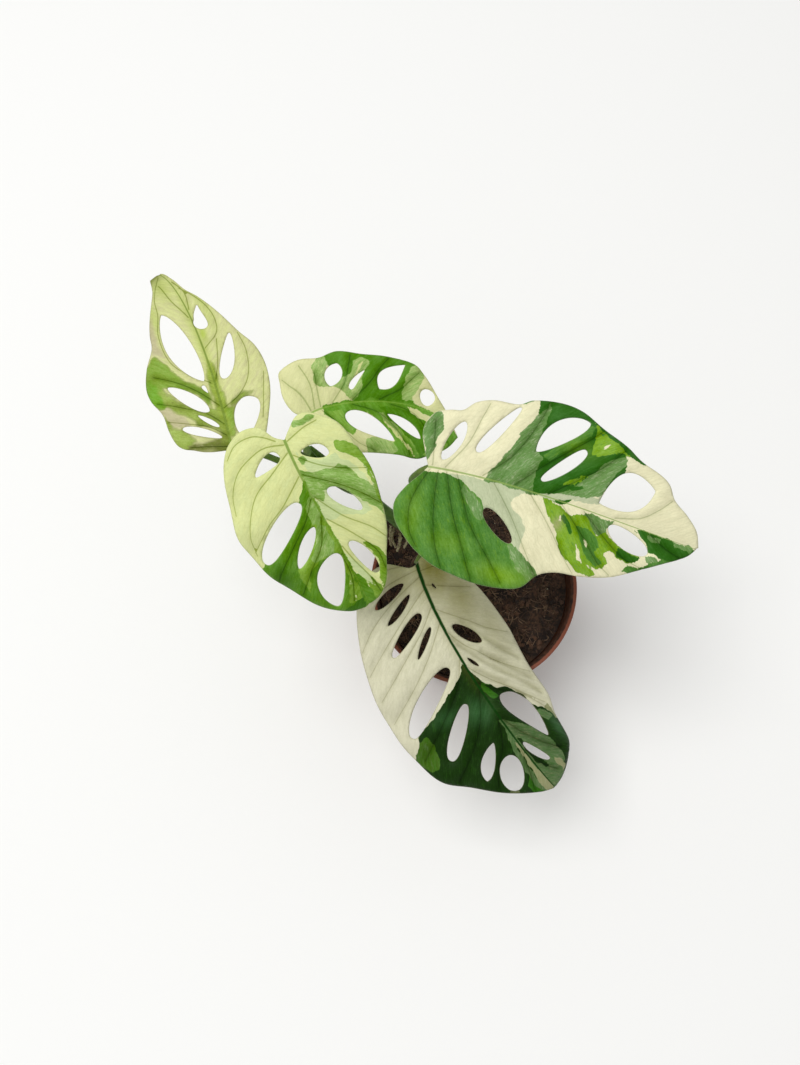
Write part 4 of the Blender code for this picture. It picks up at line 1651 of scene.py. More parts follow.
    def relief(self, points: np.ndarray, numbers: dict[str, np.ndarray]) -> np.ndarray:
        """Return how far each point of the upper face stands proud, in millimetres.

        Args:
            points: The flat points.
            numbers: What surface_numbers says of them.

        Returns:
            The heights.
        """
        across = points[:, 1]
        inland = np.clip(numbers["edge"] / self.quilt_inset, 0.0, 1.0)
        quilt = self.quilt * inland * (1.0 - bell(numbers["vein"], self.quilt_spread))
        pleat = np.where(across > 0.0, *self.pleat) * inland
        quilt += pleat * np.sin(numbers["flow"] * math.tau / self.pleat_width)
        quilt *= 1.0 - bell(across, self.quilt_inset)
        vein = self.vein_depth * bell(numbers["vein"], self.vein_spread)
        crease = self.crease_depth * inland * bell(numbers["crease"], self.crease_spread)
        channel = self.channel_depth * bell(across, numbers["girth"])
        roll = self.roll_depth * np.exp(-numbers["edge"] / self.roll_spread)
        return quilt - vein - crease - channel - roll


FRONT = Blade(
    name="front",
    vein_depth=0.55,
    quilt=0.8,
    pleat=(0.45, 0.1),
    crease_depth=1.3,
    spine=((-34, -4, 162), (-23, -44, 149), (28, -104, 121), (42, -115, 106)),
    fold=(-30, 8),
    curl=(0.35, 0.5),
    notch=(0, 0),
    tip=(147, -1),
    left=(-3, 4, -4, 10, -2, 16, 4, 23, 15, 28, 34, 35.5, 60, 39.5, 85, 37, 108, 36.5, 120, 32, 131, 30,
          140, 28, 146, 24, 148.5, 17, 149, 8),
    right=(1, -4, -1, -9, -4, -16, -2, -25, 8, -36, 22, -43, 44, -50, 66, -53, 92, -51, 106, -46, 117, -35,
           131, -21, 143, -7),
    holes=(
        Hole(11, -19.5, 20, 5, 290, point=1.2), Hole(18.5, -17.5, 19.5, 3.5, 300, bow=0.5, point=1.2),
        Hole(31.5, -19.5, 27, 6, 300, fat=-0.2, point=0.8), Hole(39, -13, 18, 3, 310, fat=-0.2),
        Hole(67, -27, 42.5, 10, 300, bow=-1, point=0.8), Hole(88, -23, 32, 8, 311, fat=0.1, point=0.8),
        Hole(111, -18.5, 21.5, 7.5, 315, bow=-1, fat=0.2, point=1.4),
        Hole(123.5, -12.5, 20.5, 13, 335, bow=-0.5), Hole(105, 13.5, 40, 12, 15, bow=3, fat=-0.4, point=1.2),
        Hole(124, 6, 21, 4, 20, bow=-0.5, point=0.9), Hole(47, 11.5, 21, 7, 35, point=1.1),
        Hole(61.5, 5.5, 8.5, 2, 25, point=1.3), Hole(14.5, 6, 3.8, 1.2, 25),
    ),
    veins=(
        (4, 1, 4, 10, 6, 20), (12, 1, 18, 14, 25, 28), (26, 1, 33, 8, 42, 17, 52, 26, 62, 37),
        (40, 1, 50, 6, 62, 14, 76, 24, 90, 35), (62, 1, 72, 7, 85, 16, 98, 24, 110, 31),
        (72, 1, 82, 9, 95, 21, 112, 29), (96, 1, 108, 5.5, 122, 12, 136, 20), (118, 1, 130, 3.5, 142, 9),
        (0, -1, -1, -14, 0, -26), (3, -1, 6, -18, 12, -36), (7, -1, 14, -18, 22, -34, 30, -45),
        (14, -1, 22, -14, 32, -31, 42, -48), (24, -1, 33, -11, 43, -27, 55, -49),
        (34, -1, 46, -14, 57, -30, 68, -50), (56, -1, 68, -10, 79, -26, 92, -47),
        (76, -1, 90, -10, 101, -23, 110, -38), (94, -1, 108, -8, 117, -17.5, 126, -24),
        (116, -1, 128, -4.5, 139, -9),
    ),
    # Wash colour: olive painted shadow over the base; glow colour: bluish painted sheen on the dark green.
    palette=Palette(cream=(210, 207, 179), pale=(146, 148, 106), silver=(84, 110, 66), lime=(60, 94, 14),
                    mid=(50, 104, 18), dark=(20, 47, 4), vein=(150, 150, 96), rib=(16, 58, 6),
                    wash_and_shadow=(134, 128, 58), bright_tone_and_sheen=(60, 104, 58), ragged=1.2, rib_width=1.5,
                    rib_share=1),
    patches=(
        Patch(DARK, (58, -1, 62, -3, 64, -6, 65.5, -10, 72, -24, 79, -42, 85, -47, 89, -51, 92, -60,
            140, -50, 165, -10, 165, 40, 126, 31, 120, 29.5, 113, 28.5, 109, 27, 107, 24, 103, 22, 97, 21,
            92, 18.5, 88, 17, 85, 15, 82, 10, 78, 7, 72, 3, 66, 1, 60, 0)),
        Patch(MID, (71, 1.5, 78, 5, 86, 8, 84, 3, 78, 1)),
        Patch(SILVER, (108, 22, 113, 22, 118, 24, 118, 28, 113, 27.5, 109, 25)),
        Patch(PALE, (111, 28.5, 122, 29.6, 122, 31.5, 111, 31)),
        Patch(SILVER, (95, -1.5, 97, 2, 104, 7.5, 110, 12, 118, 15, 126, 18, 134, 18.7, 142, 17.5, 146, 14,
            148.5, 10, 148, -1.5)),
        Patch(DARK, (104, 0.8, 112, 2.6, 120, 3.4, 127, 4.6, 134, 7, 137, 8, 134, 4, 128, 2, 118, 1)),
        Patch(PALE, (134.5, 11, 140, 11, 147, 11, 147, 15, 138, 14)),
        Patch(SILVER, (98, -0.5, 108, -1, 114, -2.5, 128, -3.6, 140, -4.6, 146, -4.6, 143, -8, 137, -9,
            130, -6.5, 122, -5.6, 114, -5, 106, -3)),
        Patch(PALE, (106, -0.5, 118, -0.4, 147, -0.4, 147, -4.5, 138, -4, 128, -3, 116, -2)),
        Patch(MID, (130, -6, 137, -7.5, 143, -6, 142, -10, 134, -11)),
        Patch(LIME, (81, -38, 86, -37, 90, -38, 95, -39, 99, -43, 99, -47, 95, -50, 90, -51, 86, -48,
            81, -43)),
    ),
    # Glows at (85, -7) and (78, -24) are a painted sheen on the dark green, the one at (126, 27) its own
    # green.
    # The first four washes are painted shadow from the right leaf over the base; the fifth is the midrib's
    # halo.
    washes=(
        Wash(4, 9, 20, 16, 0.95), Wash(24, 18, 24, 14, 0.65), Wash(50, 28, 24, 10, 0.35),
        Wash(3, -12, 14, 13, 0.6), Wash(30, 0, 34, 3.4, 0.3), Wash(85, -7, 7, 7, -0.7),
        Wash(78, -24, 4, 7, -0.5), Wash(126, 27, 10, 3, -0.6),
    ),
    # Deep folds in the relief, which the material also darkens with painted shade.
    creases=(
        (45, 2.5, 54, 6, 66, 12, 79, 20, 91, 27, 104, 33), (66, 4.5, 74, 10.5, 84, 16, 97, 22),
        (40, 12, 52, 18, 64, 25, 78, 33), (60, 14, 72, 21, 84, 28, 94, 34),
    ),
)

RIGHT = Blade(
    name="right",
    vein_depth=0.5,
    quilt=0.6,
    spine=((-28, 23, 231), (13, 17, 228), (58, 2, 215), (102, -7, 198)),
    curl=(0.5, 0.5),
    notch=(-2, 0),
    tip=(139, 1),
    left=(-5, 8, -7, 15, -6, 21, -2, 26, 4, 28, 9, 29, 14, 34, 21, 37, 32, 38, 38, 42, 50, 45, 62, 44,
          75, 39, 87, 35, 96, 31, 107, 28, 113, 25, 118, 19, 127, 14, 135, 8),
    right=(-5, -4, -11, -11, -15, -19, -13.5, -27, -8.5, -33.5, -1, -40.5, 9, -45.5, 20, -48, 35, -49.7,
           48, -48.5, 58, -45, 64, -37, 72, -33, 85, -31, 98, -27, 110, -20, 123, -12, 134, -5),
    holes=(
        Hole(7.5, 14, 20.5, 6.5, 70, bow=-0.5, point=1.1), Hole(26, 24, 29.5, 5, 60, fat=-0.3, point=0.8),
        Hole(55.5, 29.5, 30, 10.5, 45, bow=2.5, fat=0.1, point=1.4),
        Hole(59.5, 16.5, 26, 6, 50, bow=-0.5, fat=0.1, point=0.8),
        Hole(94, 12.5, 29, 18.5, 30, bow=2, fat=0.2, point=1.8), Hole(101.5, -7, 24, 9, 345, bow=-0.5),
        Hole(37, -20, 21, 7, 325, fat=-0.1, point=0.9),
    ),
    veins=(
        (0, 1, -1, 12, -2, 22), (6, 1, 14, 14, 18, 28, 20, 35), (24, 1, 34, 12, 40, 24, 44, 36, 46, 43),
        (40, 1, 50, 13, 58.3, 22, 67, 31, 73, 38), (56, 1, 68, 12, 78, 22, 86, 33),
        (92, 1, 104, 5, 112, 12, 117, 18), (-1, -1, -5.6, -11, -7.8, -20, -6, -31, -1.7, -38),
        (3, -1, 3.2, -12, 4.6, -24, 8.2, -36, 14, -46), (7, -1, 13, -18, 19, -29, 27, -42, 32, -49),
        (12, -1, 21.4, -20, 28, -28, 39, -38, 47, -46), (30, -1, 42, -14, 52, -26, 62, -37),
        (48, -1, 62, -14, 74, -26, 80, -31), (64, -1, 78, -12, 90, -22, 98, -26),
        (76, -1, 88, -9, 102, -16, 114, -18), (112, -1, 122, -5, 131, -7),
    ),
    palette=Palette(cream=(231, 226, 187), pale=(189, 197, 160), silver=(104, 140, 76), lime=(122, 162, 26),
                    mid=(76, 126, 46), dark=(44, 98, 18), vein=(118, 140, 70), rib=(138, 164, 84),
                    wash_and_shadow=(176, 160, 132)),
    patches=(
        Patch(SILVER, (-7, 14, -6, 21, -3, 25, 0, 27, 1.5, 25, 2, 20, 0.5, 14, -1, 8, -2, 3, -4, 4, -5, 9)),
        Patch(SILVER, (33, 38, 38, 41.5, 38, 43, 33, 41)),
        Patch(DARK, (40, 46, 42, 35, 41, 28, 41, 19, 43, 12, 44, 6, 46, -1, 56, -1, 66, -1, 72, 6, 82, 10,
            88, 22, 88, 29, 84, 33, 72, 46, 50, 50)),
        Patch(SILVER, (24.5, -1.5, 28.7, 7.5, 32.5, 15.2, 35.6, 24.5, 40.2, 33.7, 45, 40, 46, 44, 47, 40,
            46.5, 35, 45.5, 30, 45, 24, 46, 19, 48.5, 16, 47.5, 10, 48, 5, 49, -1.5)),
        Patch(MID, (48, 17, 52, 16, 60, 26, 68, 34, 68, 40, 62, 36, 54, 26)),
        Patch(LIME, (68, 41, 73, 39, 80, 36, 88, 33, 89, 31, 86, 31, 82, 30, 78, 28, 74, 26, 71, 25, 70, 30,
            70, 36)),
        Patch(CREAM, (75, 29.5, 76.5, 30, 78, 33.5, 77, 34, 75.5, 31.5)),
        Patch(MID, (71.5, 36, 74, 36, 74.5, 38, 72, 38.5)),
        Patch(SILVER, (59, 2, 64, 6, 70, 12, 75, 20, 78, 25, 84, 29, 88, 30, 88, 26, 85, 22, 83, 15, 82, 10,
            80, 8, 74, 5, 66, 3)),
        Patch(DARK, (60, 3, 64, 5, 70, 7.5, 72, 10, 66, 8, 61, 5)),
        Patch(LIME, (61.5, 7.5, 65, 8.5, 68, 11.5, 71, 14.5, 69, 14.8, 65.5, 12.5, 62.5, 10)),
        Patch(CREAM, (88, 30, 90, 22, 86, 12, 82, 6, 88, -1, 140, -1, 140, 30, 100, 32)),
        Patch(PALE, (50, -1, 60, 3, 66, 4, 72, 5, 80, 7, 82, 9, 82, 5, 76, 3, 68, 2, 58, -1)),
        Patch(DARK, (70, 44, 80, 39, 90, 35, 98, 32, 98, 29, 90, 31, 80, 35, 72, 39)),
        Patch(PALE, (10, -1, 46, -1, 43, -3, 40, -6, 41, -9, 44, -12, 47, -14, 50, -17, 50, -22, 51, -31,
            40, -26, 30, -19, 22, -14, 14, -9, 8, -4)),
        Patch(MID, (-2, -2.5, 4, -2, 12, -2.5, 16, -4, 20, -7, 24, -9.5, 27, -12, 31, -16, 40, -23,
            45.5, -25.5, 48, -27, 52, -29.5, 56, -32, 60, -35, 64, -37, 67, -42, 60, -52, 0, -60, -20, -40,
            -20, -8, -6, -1)),
        Patch(SILVER, (16, -5, 22, -9, 27, -13, 30, -19, 26, -20, 20, -14, 15, -8)),
        Patch(SILVER, (44, -26, 50, -28, 57, -32, 63, -36, 60, -41, 54, -38, 47, -33)),
        Patch(LIME, (54, -1, 58, -1, 61, -1.5, 66, -3, 70, -5, 72, -4, 75, -2, 78, -3, 80, -5, 82, -8,
            86, -10, 90, -11, 96, -13, 97, -15, 93, -15, 91, -17, 93, -19, 95, -21, 94, -23.5, 91, -25,
            87, -24.5, 84, -25, 88, -26, 91, -28, 88, -29.5, 82, -29, 77, -27, 73, -25, 69, -22, 67, -18,
            66, -15, 63, -12, 60, -9, 57, -5)),
        Patch(MID, (74, -9, 80, -8, 86, -11, 88, -15, 86, -18, 90, -20, 93, -22, 90, -24, 84, -22, 80, -18,
            77, -14)),
        Patch(DARK, (66, -5, 70, -8, 73, -13, 72, -14, 68, -10, 65, -7)),
        Patch(SILVER, (76, -1, 84, -1, 92, -1, 91, -3, 89, -5, 88, -9, 84, -9, 80, -6, 77, -3)),
        Patch(CREAM, (79.5, -13, 82, -15, 83, -17.5, 81, -16.5)),
        Patch(CREAM, (76, -16, 78, -19, 80, -22, 83, -25, 79, -24, 77, -20)),
        Patch(CREAM, (64, -6, 65.5, -6, 66.5, -10, 65, -10)),
        Patch(LIME, (86, -9, 90, -12, 96, -14.5, 98, -17, 104, -17.5, 108, -16, 110, -13, 106, -11.5,
            97, -11, 92, -9, 88, -7)),
        Patch(DARK, (97, -12, 103, -13, 110, -13, 108, -16, 104, -17, 98, -16.5)),
        Patch(MID, (102, -22, 104, -19, 108, -18, 112, -17, 116, -14, 121, -11.5, 127, -9, 122, -14,
            114, -18, 108, -22)),
        Patch(SILVER, (112, -11.5, 120, -11, 120, -13, 113, -14)),
        Patch(DARK, (103, -1.5, 108, 0, 130, 0, 138, -1, 137, -3, 133, -6, 128, -9, 124, -10.5, 119, -10,
            113, -9, 112, -7, 108, -4)),
        Patch(SILVER, (110, -1, 118, -1, 118, -3.5, 111, -3.5)),
        Patch(SILVER, (124, 0, 136, 0, 136, -2.5, 126, -2.5)),
    ),
    washes=(
        Wash(64.5, -11, 2.5, 3.5, 0.5), Wash(46, -42, 15, 5, -0.7), Wash(14, -33, 12, 5, -0.35),
        Wash(-6, -24, 5, 14, -0.4), Wash(62, 27, 10, 5, -0.3),
    ),
)

BACK = Blade(
    name="back",
    spine=((-87, 57, 217), (-82, 62, 217), (-43, 74, 212), (-17, 62, 195)),
    curl=(0.8, 0.8),
    notch=(-2, 0),
    tip=(84, -4),
    left=(-6, 4, -7, 9, -6, 15, -3, 21, 0, 26, 4, 27, 11, 25, 19, 27, 29, 24, 40, 23, 51, 21, 56, 16.5,
          65, 8, 76, 1),
    right=(-3, -5, -2, -10, 2, -16, 10, -22, 20, -25, 34, -26, 52, -26, 68, -25, 76, -20, 82, -12),
    holes=(
        Hole(15.5, 15, 12, 7.5, 65, point=1.4), Hole(25.5, 11, 11.5, 2.5, 50, bow=0.5, fat=-0.6, point=0.8),
        Hole(41.5, 13, 17.5, 8.5, 50, bow=0.5, fat=-0.5, point=1.7),
        Hole(59.5, 6, 8.5, 7.5, 120, bow=-0.5, point=1.1),
        Hole(31.5, -12.5, 31.5, 9, 335, fat=-0.5, point=1.1),
        Hole(52, -10.5, 24.5, 5, 340, fat=0.1, point=1.5),
    ),
    veins=(
        (1, 1, 1, 10, -1, 22), (3, 1, 5, 12, 4, 24), (6, 1, 7, 10, 8, 18), (12, 1, 19.5, 10, 23, 20, 24, 24),
        (22, 1, 31, 9, 37, 18, 40, 22), (36, 1, 46, 7, 52, 15, 54, 18), (0, -1, 2, -12, 6, -18),
        (6, -1, 13, -10, 22, -20, 34, -25), (22, -1, 36, -6, 48, -14.5, 60, -24),
        (42, -1, 56, -4, 68, -12, 75, -18),
    ),
    palette=Palette(cream=(213, 213, 158), pale=(204, 208, 140), silver=(148, 176, 98), lime=(126, 168, 62),
                    mid=(98, 148, 38), dark=(76, 128, 12), vein=(128, 156, 74), rib=(124, 164, 58),
                    vein_share=0.5),
    patches=(
        Patch(DARK, (13, 30, 13, 21, 15.5, 19, 17, 12, 20, 7, 26, -4, 54, -5, 54, 20, 56, 24, 40, 30)),
        Patch(SILVER, (6.5, 13, 7, 17, 8, 22, 11, 26, 14, 27, 14, 21, 12.5, 17, 12, 11, 14, 9.5, 13, 8.5,
            10, 10, 8, 11)),
        Patch(SILVER, (13, 9.5, 16, 8, 20, 9, 22, 12, 21, 16, 19.5, 13)),
        Patch(SILVER, (17, 7, 19, 13, 22, 14, 25, 20, 28, 22, 31.5, 20, 30.5, 17, 28, 12, 27.5, 7, 26, 3,
            23, 1.5, 20, 3)),
        Patch(PALE, (20.5, 7, 24, 12.5, 27, 18.5, 28.5, 19.5, 26.5, 14, 23, 8)),
        Patch(SILVER, (47, 2, 48, 14, 50, 20.5, 54, 20.5, 55.5, 15, 54, 8, 52.5, 2)),
        Patch(CREAM, (54, 1, 66, 1, 84, 0, 84, 6, 70, 10, 64, 12, 57, 17, 55.5, 14, 54, 8, 52.5, 3)),
        Patch(MID, (7, 1, 20, 1.2, 30, 1, 48, 0.8, 60, 0.6, 72, -1, 84, -4, 84, -14, 77, -21, 68, -27,
            46, -28, 46, -19, 38, -13, 30, -5, 22, -14, 20, -17, 12, -10, 7, -4)),
        Patch(LIME, (8, -2, 16, -3, 17, -9, 21, -13, 20, -17, 12, -10)),
        Patch(SILVER, (27, -19, 34, -18, 45, -19.5, 50, -24, 44, -28, 28, -27.5)),
        Patch(DARK, (34, -2, 44, -2.5, 58, -3.5, 60, -8, 66, -12, 72, -9, 80, -8, 84, -14, 77, -21, 70, -24,
            60, -19, 50, -15, 42, -9, 38, -5)),
        Patch(LIME, (68, -13, 74, -11, 80, -10, 84, -14, 77, -21, 70, -22, 74, -17)),
        Patch(CREAM, (50, -1.2, 57, -1.6, 66, -2, 72, -4, 66, -6, 59, -5, 53, -3.2)),
        Patch(SILVER, (34, -5, 38, -6, 44, -10, 52, -15.5, 56, -18, 48, -16, 41, -12)),
        Patch(PALE, (38, -9, 44, -13, 54, -19, 64, -23.5, 66, -25, 56, -21.5, 46, -16, 39, -10.5)),
        Patch(LIME, (44, -12, 52, -17, 64, -22, 70, -24.5, 60, -19, 50, -14)),
    ),
)

MIDDLE = Blade(
    name="middle",
    spine=((-95, 29, 244), (-85, 7, 232), (-69, -12, 214), (-59, -30, 185)),
    curl=(0.7, 0.7),
    notch=(-2, 0),
    tip=(95, -2),
    left=(-6, 4, -10, 9, -10, 14, -6, 20, 0, 26, 12, 29, 27, 31, 41, 29, 56, 25, 71, 18, 83, 13, 91, 6.5),
    right=(-5, -4, -11, -8, -13, -14, -12, -20, -7, -27, 4, -33, 16, -37, 31, -41, 45, -39, 59, -35, 73, -28,
           86, -20, 93.5, -10),
    holes=(
        Hole(5.5, -12, 14.5, 5.5, 290, bow=-0.5, fat=-0.5, point=0.8),
        Hole(9, 10.5, 13, 6.5, 65, bow=1, fat=0.2, point=1.2),
        Hole(35.5, 13, 19.5, 7, 30, bow=0.5, fat=-0.2), Hole(66.5, 8, 22.5, 7, 14, bow=0.5, point=0.9),
        Hole(37, -21, 35, 10, 305, bow=-1, point=0.8),
        Hole(48.5, -14, 22.5, 6, 315, bow=-0.5, fat=-0.1, point=1.2),
        Hole(72.5, -9, 31.5, 13.5, 340, bow=-3, fat=-0.2, point=1.1),
    ),
    veins=(
        (-1, 1, -4, 10, -5, 17), (6, 1, 15, 10, 22, 20, 27, 29), (16, 1, 26, 12.5, 36, 21, 46, 27),
        (28, 1, 42, 8.5, 54, 18, 62, 22), (40, 1, 52, 8.5, 66, 15, 77, 15), (56, 1, 66, 3, 80, 7, 88, 8),
        (-3, -4, -7, -9, -9, -14, -8, -22, -3, -28), (0, -1, -2, -10, 0, -18, 4, -26, 12, -33, 20, -36),
        (4, -1, 10, -12, 15, -22, 22, -29, 32, -35, 42, -37), (16, -1, 25, -14, 30, -24, 40, -37),
        (28, -1, 36, -8, 44, -18, 54, -30, 59, -34), (38, -1, 50, -7, 60, -17, 72, -27),
        (60, -1, 74, -1.8, 88, -6),
    ),
    palette=Palette(cream=(216, 221, 153), pale=(200, 214, 156), silver=(136, 172, 84), lime=(126, 164, 48),
                    mid=(86, 134, 18), dark=(58, 106, 8), vein=(158, 172, 78), rib=(104, 142, 34),
                    wash_and_shadow=(54, 100, 6), ragged=1.4, mottle=0.3, vein_share=0.75, rib_width=0.9),
    patches=(
        Patch(LIME, (7, 21, 9, 25, 13, 28, 20, 31, 30, 32, 42, 30.5, 50, 28, 46, 26, 40, 27, 36, 28, 30, 28,
            24, 28, 20, 27, 17, 24, 13, 21, 9, 20)),
        Patch(PALE, (25, 28.6, 33, 29.4, 40, 28.6, 33, 30.2)),
        Patch(PALE, (3, 3, 8, 3, 16, 4, 22, 8, 21, 14, 20, 19, 24, 22, 34, 26, 30, 27, 22, 24, 16, 20,
            13, 19, 13, 12, 8, 4)),
        Patch(PALE, (22, 0.4, 40, 0.4, 42, 5, 41, 9, 46, 16, 47, 22, 42, 21, 36, 18, 28, 11)),
        Patch(SILVER, (13, 0.4, 16, 5, 18, 10, 19, 14, 18, 18, 22, 21, 28, 23.5, 33, 26, 40, 27.5, 46, 27,
            52, 27, 46, 23.5, 41, 20.5, 35, 17, 31, 14, 28, 10, 26, 5, 23, 0.4)),
        Patch(SILVER, (24, 1, 30, 2, 32, 4, 28, 6, 25, 5)),
        Patch(SILVER, (9, 2, 12, 3, 11, 6, 8, 5)),
        Patch(LIME, (56, 8, 60, 13, 65, 16, 72, 17.5, 80, 16, 88, 12, 93, 6, 91, 9, 84, 10.5, 77, 11.5,
            72, 13.5, 65, 13, 60, 11)),
        Patch(LIME, (70, 3.5, 78, 7, 84, 9.5, 90, 9, 94, 5, 90, 4, 84, 4.5, 78, 4, 72, 2.5)),
        Patch(MID, (74, 0.3, 95, -1.5, 95, 3, 90, 4.5, 84, 4.5, 78, 3.5, 73, 1.5)),
        Patch(PALE, (60, 0.5, 66, 3, 72, 4.5, 78, 6, 84, 7.5, 80, 5, 74, 2, 68, 0.5)),
        Patch(PALE, (64, 1, 72, 2, 80, 6, 76, 6.5, 70, 5, 62, 2)),
        Patch(MID, (18, 0.4, 24, -4, 27, -7, 30, -14, 34, -24, 40, -31, 48, -36, 50, -45, 110, -30, 110, 0.4,
            60, 0.4, 40, 0.4)),
        Patch(LIME, (28, -2, 40, 0.3, 58, 0.3, 61, -3, 57, -12, 61, -19, 72, -23, 60, -24, 52, -20, 46, -11,
            38, -6, 31, -5)),
        Patch(SILVER, (-8.5, 5, -8, 15, -6.5, 17, -5.5, 12, -6, 6)),
        Patch(SILVER, (26, 0.3, 36, 0.3, 40, -3, 39, -6, 33, -6, 30, -4)),
        Patch(SILVER, (42, -1.5, 52, -1.5, 58, -4, 57, -9, 57, -14, 54, -15, 49, -10, 45, -7, 40, -4.5)),
        Patch(LIME, (60, -0.5, 88, -1, 88, -8, 84, -7, 72, -3, 60, -3)),
        Patch(DARK, (88, -1, 95, -2, 95, -9, 92, -14, 90, -9, 88, -4)),
        Patch(PALE, (74, -2.8, 78, -3.2, 78, -4.2, 74, -3.8)),
        Patch(PALE, (83, -3.3, 88, -4.4, 88, -5.4, 83, -4.3)),
    ),
    washes=(Wash(57, -31, 12, 5.5, 0.8), Wash(70, -26, 10, 3, 0.4)),
)

LEFT = Blade(
    name="left",
    spine=((-126, 41, 214), (-127, 51, 216), (-149, 125, 222), (-169, 138, 214)),
    curl=(0.7, 0.7),
    notch=(-2, 0),
    tip=(111, 5),
    left=(-2, 3, -2, 9, -1, 15, 2, 21.5, 7, 26, 17, 29, 27, 30, 37, 34, 46, 35, 56, 31, 66, 25, 75, 23,
          85, 19, 95, 14, 102, 10, 107, 8),
    right=(-5, -4, -6, -9, -4, -14, 2, -18, 12, -22, 24, -26, 36, -27, 46, -25, 55, -20, 69, -14, 82, -8,
           90, -4, 100, -2, 107.5, -0.4),
    holes=(
        Hole(60, 9, 46.5, 13, 10, bow=2.5, point=1.5), Hole(71, -5, 14, 6, 355, bow=1.5, fat=-0.6),
        Hole(45.5, -10, 24, 7, 335, bow=-0.5, fat=-0.4),
        Hole(12.5, -11.5, 19.5, 12, 335, bow=1, fat=0.2, point=0.8),
        Hole(32.5, 5.5, 5, 1.6, 20, fat=0.6, point=0.8), Hole(30.5, 15, 26.5, 6.5, 40, fat=-0.2, point=1.2),
        Hole(15.5, 8, 12.5, 2.5, 45, fat=-0.2, point=1.1), Hole(10.5, 12.5, 21, 4.5, 60, fat=0.2),
    ),
    veins=(
        (0, 1, 1, 9, 3, 19), (6, 1, 12.5, 9, 18, 20, 22, 28), (12, 1, 19.5, 8, 26, 18, 34, 31),
        (22, 1, 32, 9, 41, 18, 50, 29), (35, 2, 45, 13, 55, 18.5, 72, 19, 84, 14.5, 95, 12, 103, 7, 107, 2),
        (74, 1, 88, 5, 102, 5.5), (0, -1, 0, -10, 1, -16), (20, -1, 24, -10, 32, -17, 45, -20, 55, -19),
        (54, -1, 59, -9, 66, -11, 74, -10, 83, -6.5, 92, -2), (10, -18.5, 22, -22, 32, -25),
        (36, -1, 44, -4.5, 56, -8), (78, -1, 88, -3, 98, -1),
    ),
    palette=Palette(cream=(206, 210, 146), pale=(188, 182, 142), silver=(114, 120, 58), lime=(146, 166, 74),
                    mid=(124, 154, 54), dark=(102, 150, 24), vein=(150, 164, 66), rib=(112, 134, 46),
                    bright_tone_and_sheen=(164, 186, 62), rib_width=1, softness=1.8, mottle=0.55, vein_share=0.75,
                    wash_and_shadow=(112, 122, 48)),
    patches=(
        # The olive patch at the base is partly the blade's own tone and partly painted shade.
        Patch(SILVER, (-2, 2, 0, 20, 3, 24, 5, 20, 4, 10, 5, 4, 2, 0)),
        Patch(LIME, (1, 22, 6, 27, 14, 31, 24, 31.5, 26, 28, 20, 26.5, 16, 24, 15, 22, 12, 20, 6, 16,
            4, 20)),
        Patch(PALE, (16, 22, 17, 26, 22, 28, 30, 31, 36, 34, 38, 31, 33, 27, 28, 24, 22, 20, 17, 17,
            15.5, 18)),
        Patch(LIME, (4, 3, 11, 2, 20, 3, 22, 6, 20.5, 8, 24, 14, 30, 20, 37, 24.5, 42, 26, 40, 30, 34, 30,
            30, 27, 24, 21, 17, 14, 15, 14, 12, 8, 10, 3.5)),
        Patch(MID, (22, 5, 30, 4, 34, 8, 40, 14, 46, 18, 52, 20, 60, 25, 58, 28, 54, 35, 46, 38, 38, 37,
            32, 30, 34, 27, 40, 28, 42, 25, 37, 17, 31, 10, 26, 7)),
        Patch(DARK, (30, 27, 36, 28, 40, 29.5, 45, 29, 49, 31, 50, 33, 46, 37, 38, 36, 31, 31)),
        Patch(PALE, (57, 19, 66, 21, 76, 20, 85, 17, 85, 21, 72, 25, 62, 25)),
        Patch(LIME, (0, 0, 44, 0.3, 40, 2.5, 22, 3, 0, 4)),
        Patch(LIME, (4, 1, 20, 0.6, 40, 0.6, 47, 0, 44, -2, 30, -2, 20, -3, 19, -6, 14, -4.5, 6, -4)),
        Patch(MID, (5, -1.5, 19, -1.5, 19, -4.5, 12, -4, 5, -3)),
        Patch(LIME, (19, -4, 22.5, -6, 24.5, -12, 23.5, -17, 22, -12, 20, -7)),
        Patch(SILVER, (108, -1, 113, -1, 114, 7, 108.5, 8.5)),
    ),
    washes=(
        # The olive washes at the base and the tip are partly the blade's own olive and partly painted shade.
        Wash(-1, 4, 9, 8, 0.8), Wash(50, 33, 6, 3, 0.3), Wash(108, 3, 6, 7, 0.5), Wash(55, 0, 60, 2.8, -0.5),
        Wash(80, -8.5, 24, 3, -0.4), Wash(62, -2.5, 6, 2.2, -0.8), Wash(88, 17, 22, 3, -0.45),
        Wash(100, 5, 12, 6, -0.45),
    ),
)

BLADES = (FRONT, RIGHT, BACK, MIDDLE, LEFT)

STALKS = (
    Stalk("front", ((-26, 14.2, 113), (-21, 12.5, 124), (-20, 12, 140), (-25, 9, 151),
                    (-31, 3, 156.5), (-33.9, -2.6, 158.3))),
    Stalk("right", ((-28.5, 16.5, 124), (-23.5, 20.5, 136), (-26, 25, 165), (-34, 25, 195),
                    (-37.5, 23.5, 213), (-33.5, 23.6, 223.5), (-28.4, 24, 228.2))),
    Stalk("back", ((-57.3, 24.8, 180), (-64.5, 34, 187), (-75.5, 45, 199), (-83.5, 54, 209),
                   (-87, 58, 213.5))),
    Stalk("middle", ((-75.6, 32, 207), (-83.5, 29.5, 219), (-91, 30, 231.5), (-95.1, 31, 240.7))),
    Stalk("left", ((-62.8, 27, 188), (-69, 25.5, 195.5), (-77.5, 28.5, 199.5), (-92.7, 32.1, 204.7),
                   (-108.6, 37.7, 209), (-119.5, 41, 208.6), (-125.9, 42.1, 210.4))),
)


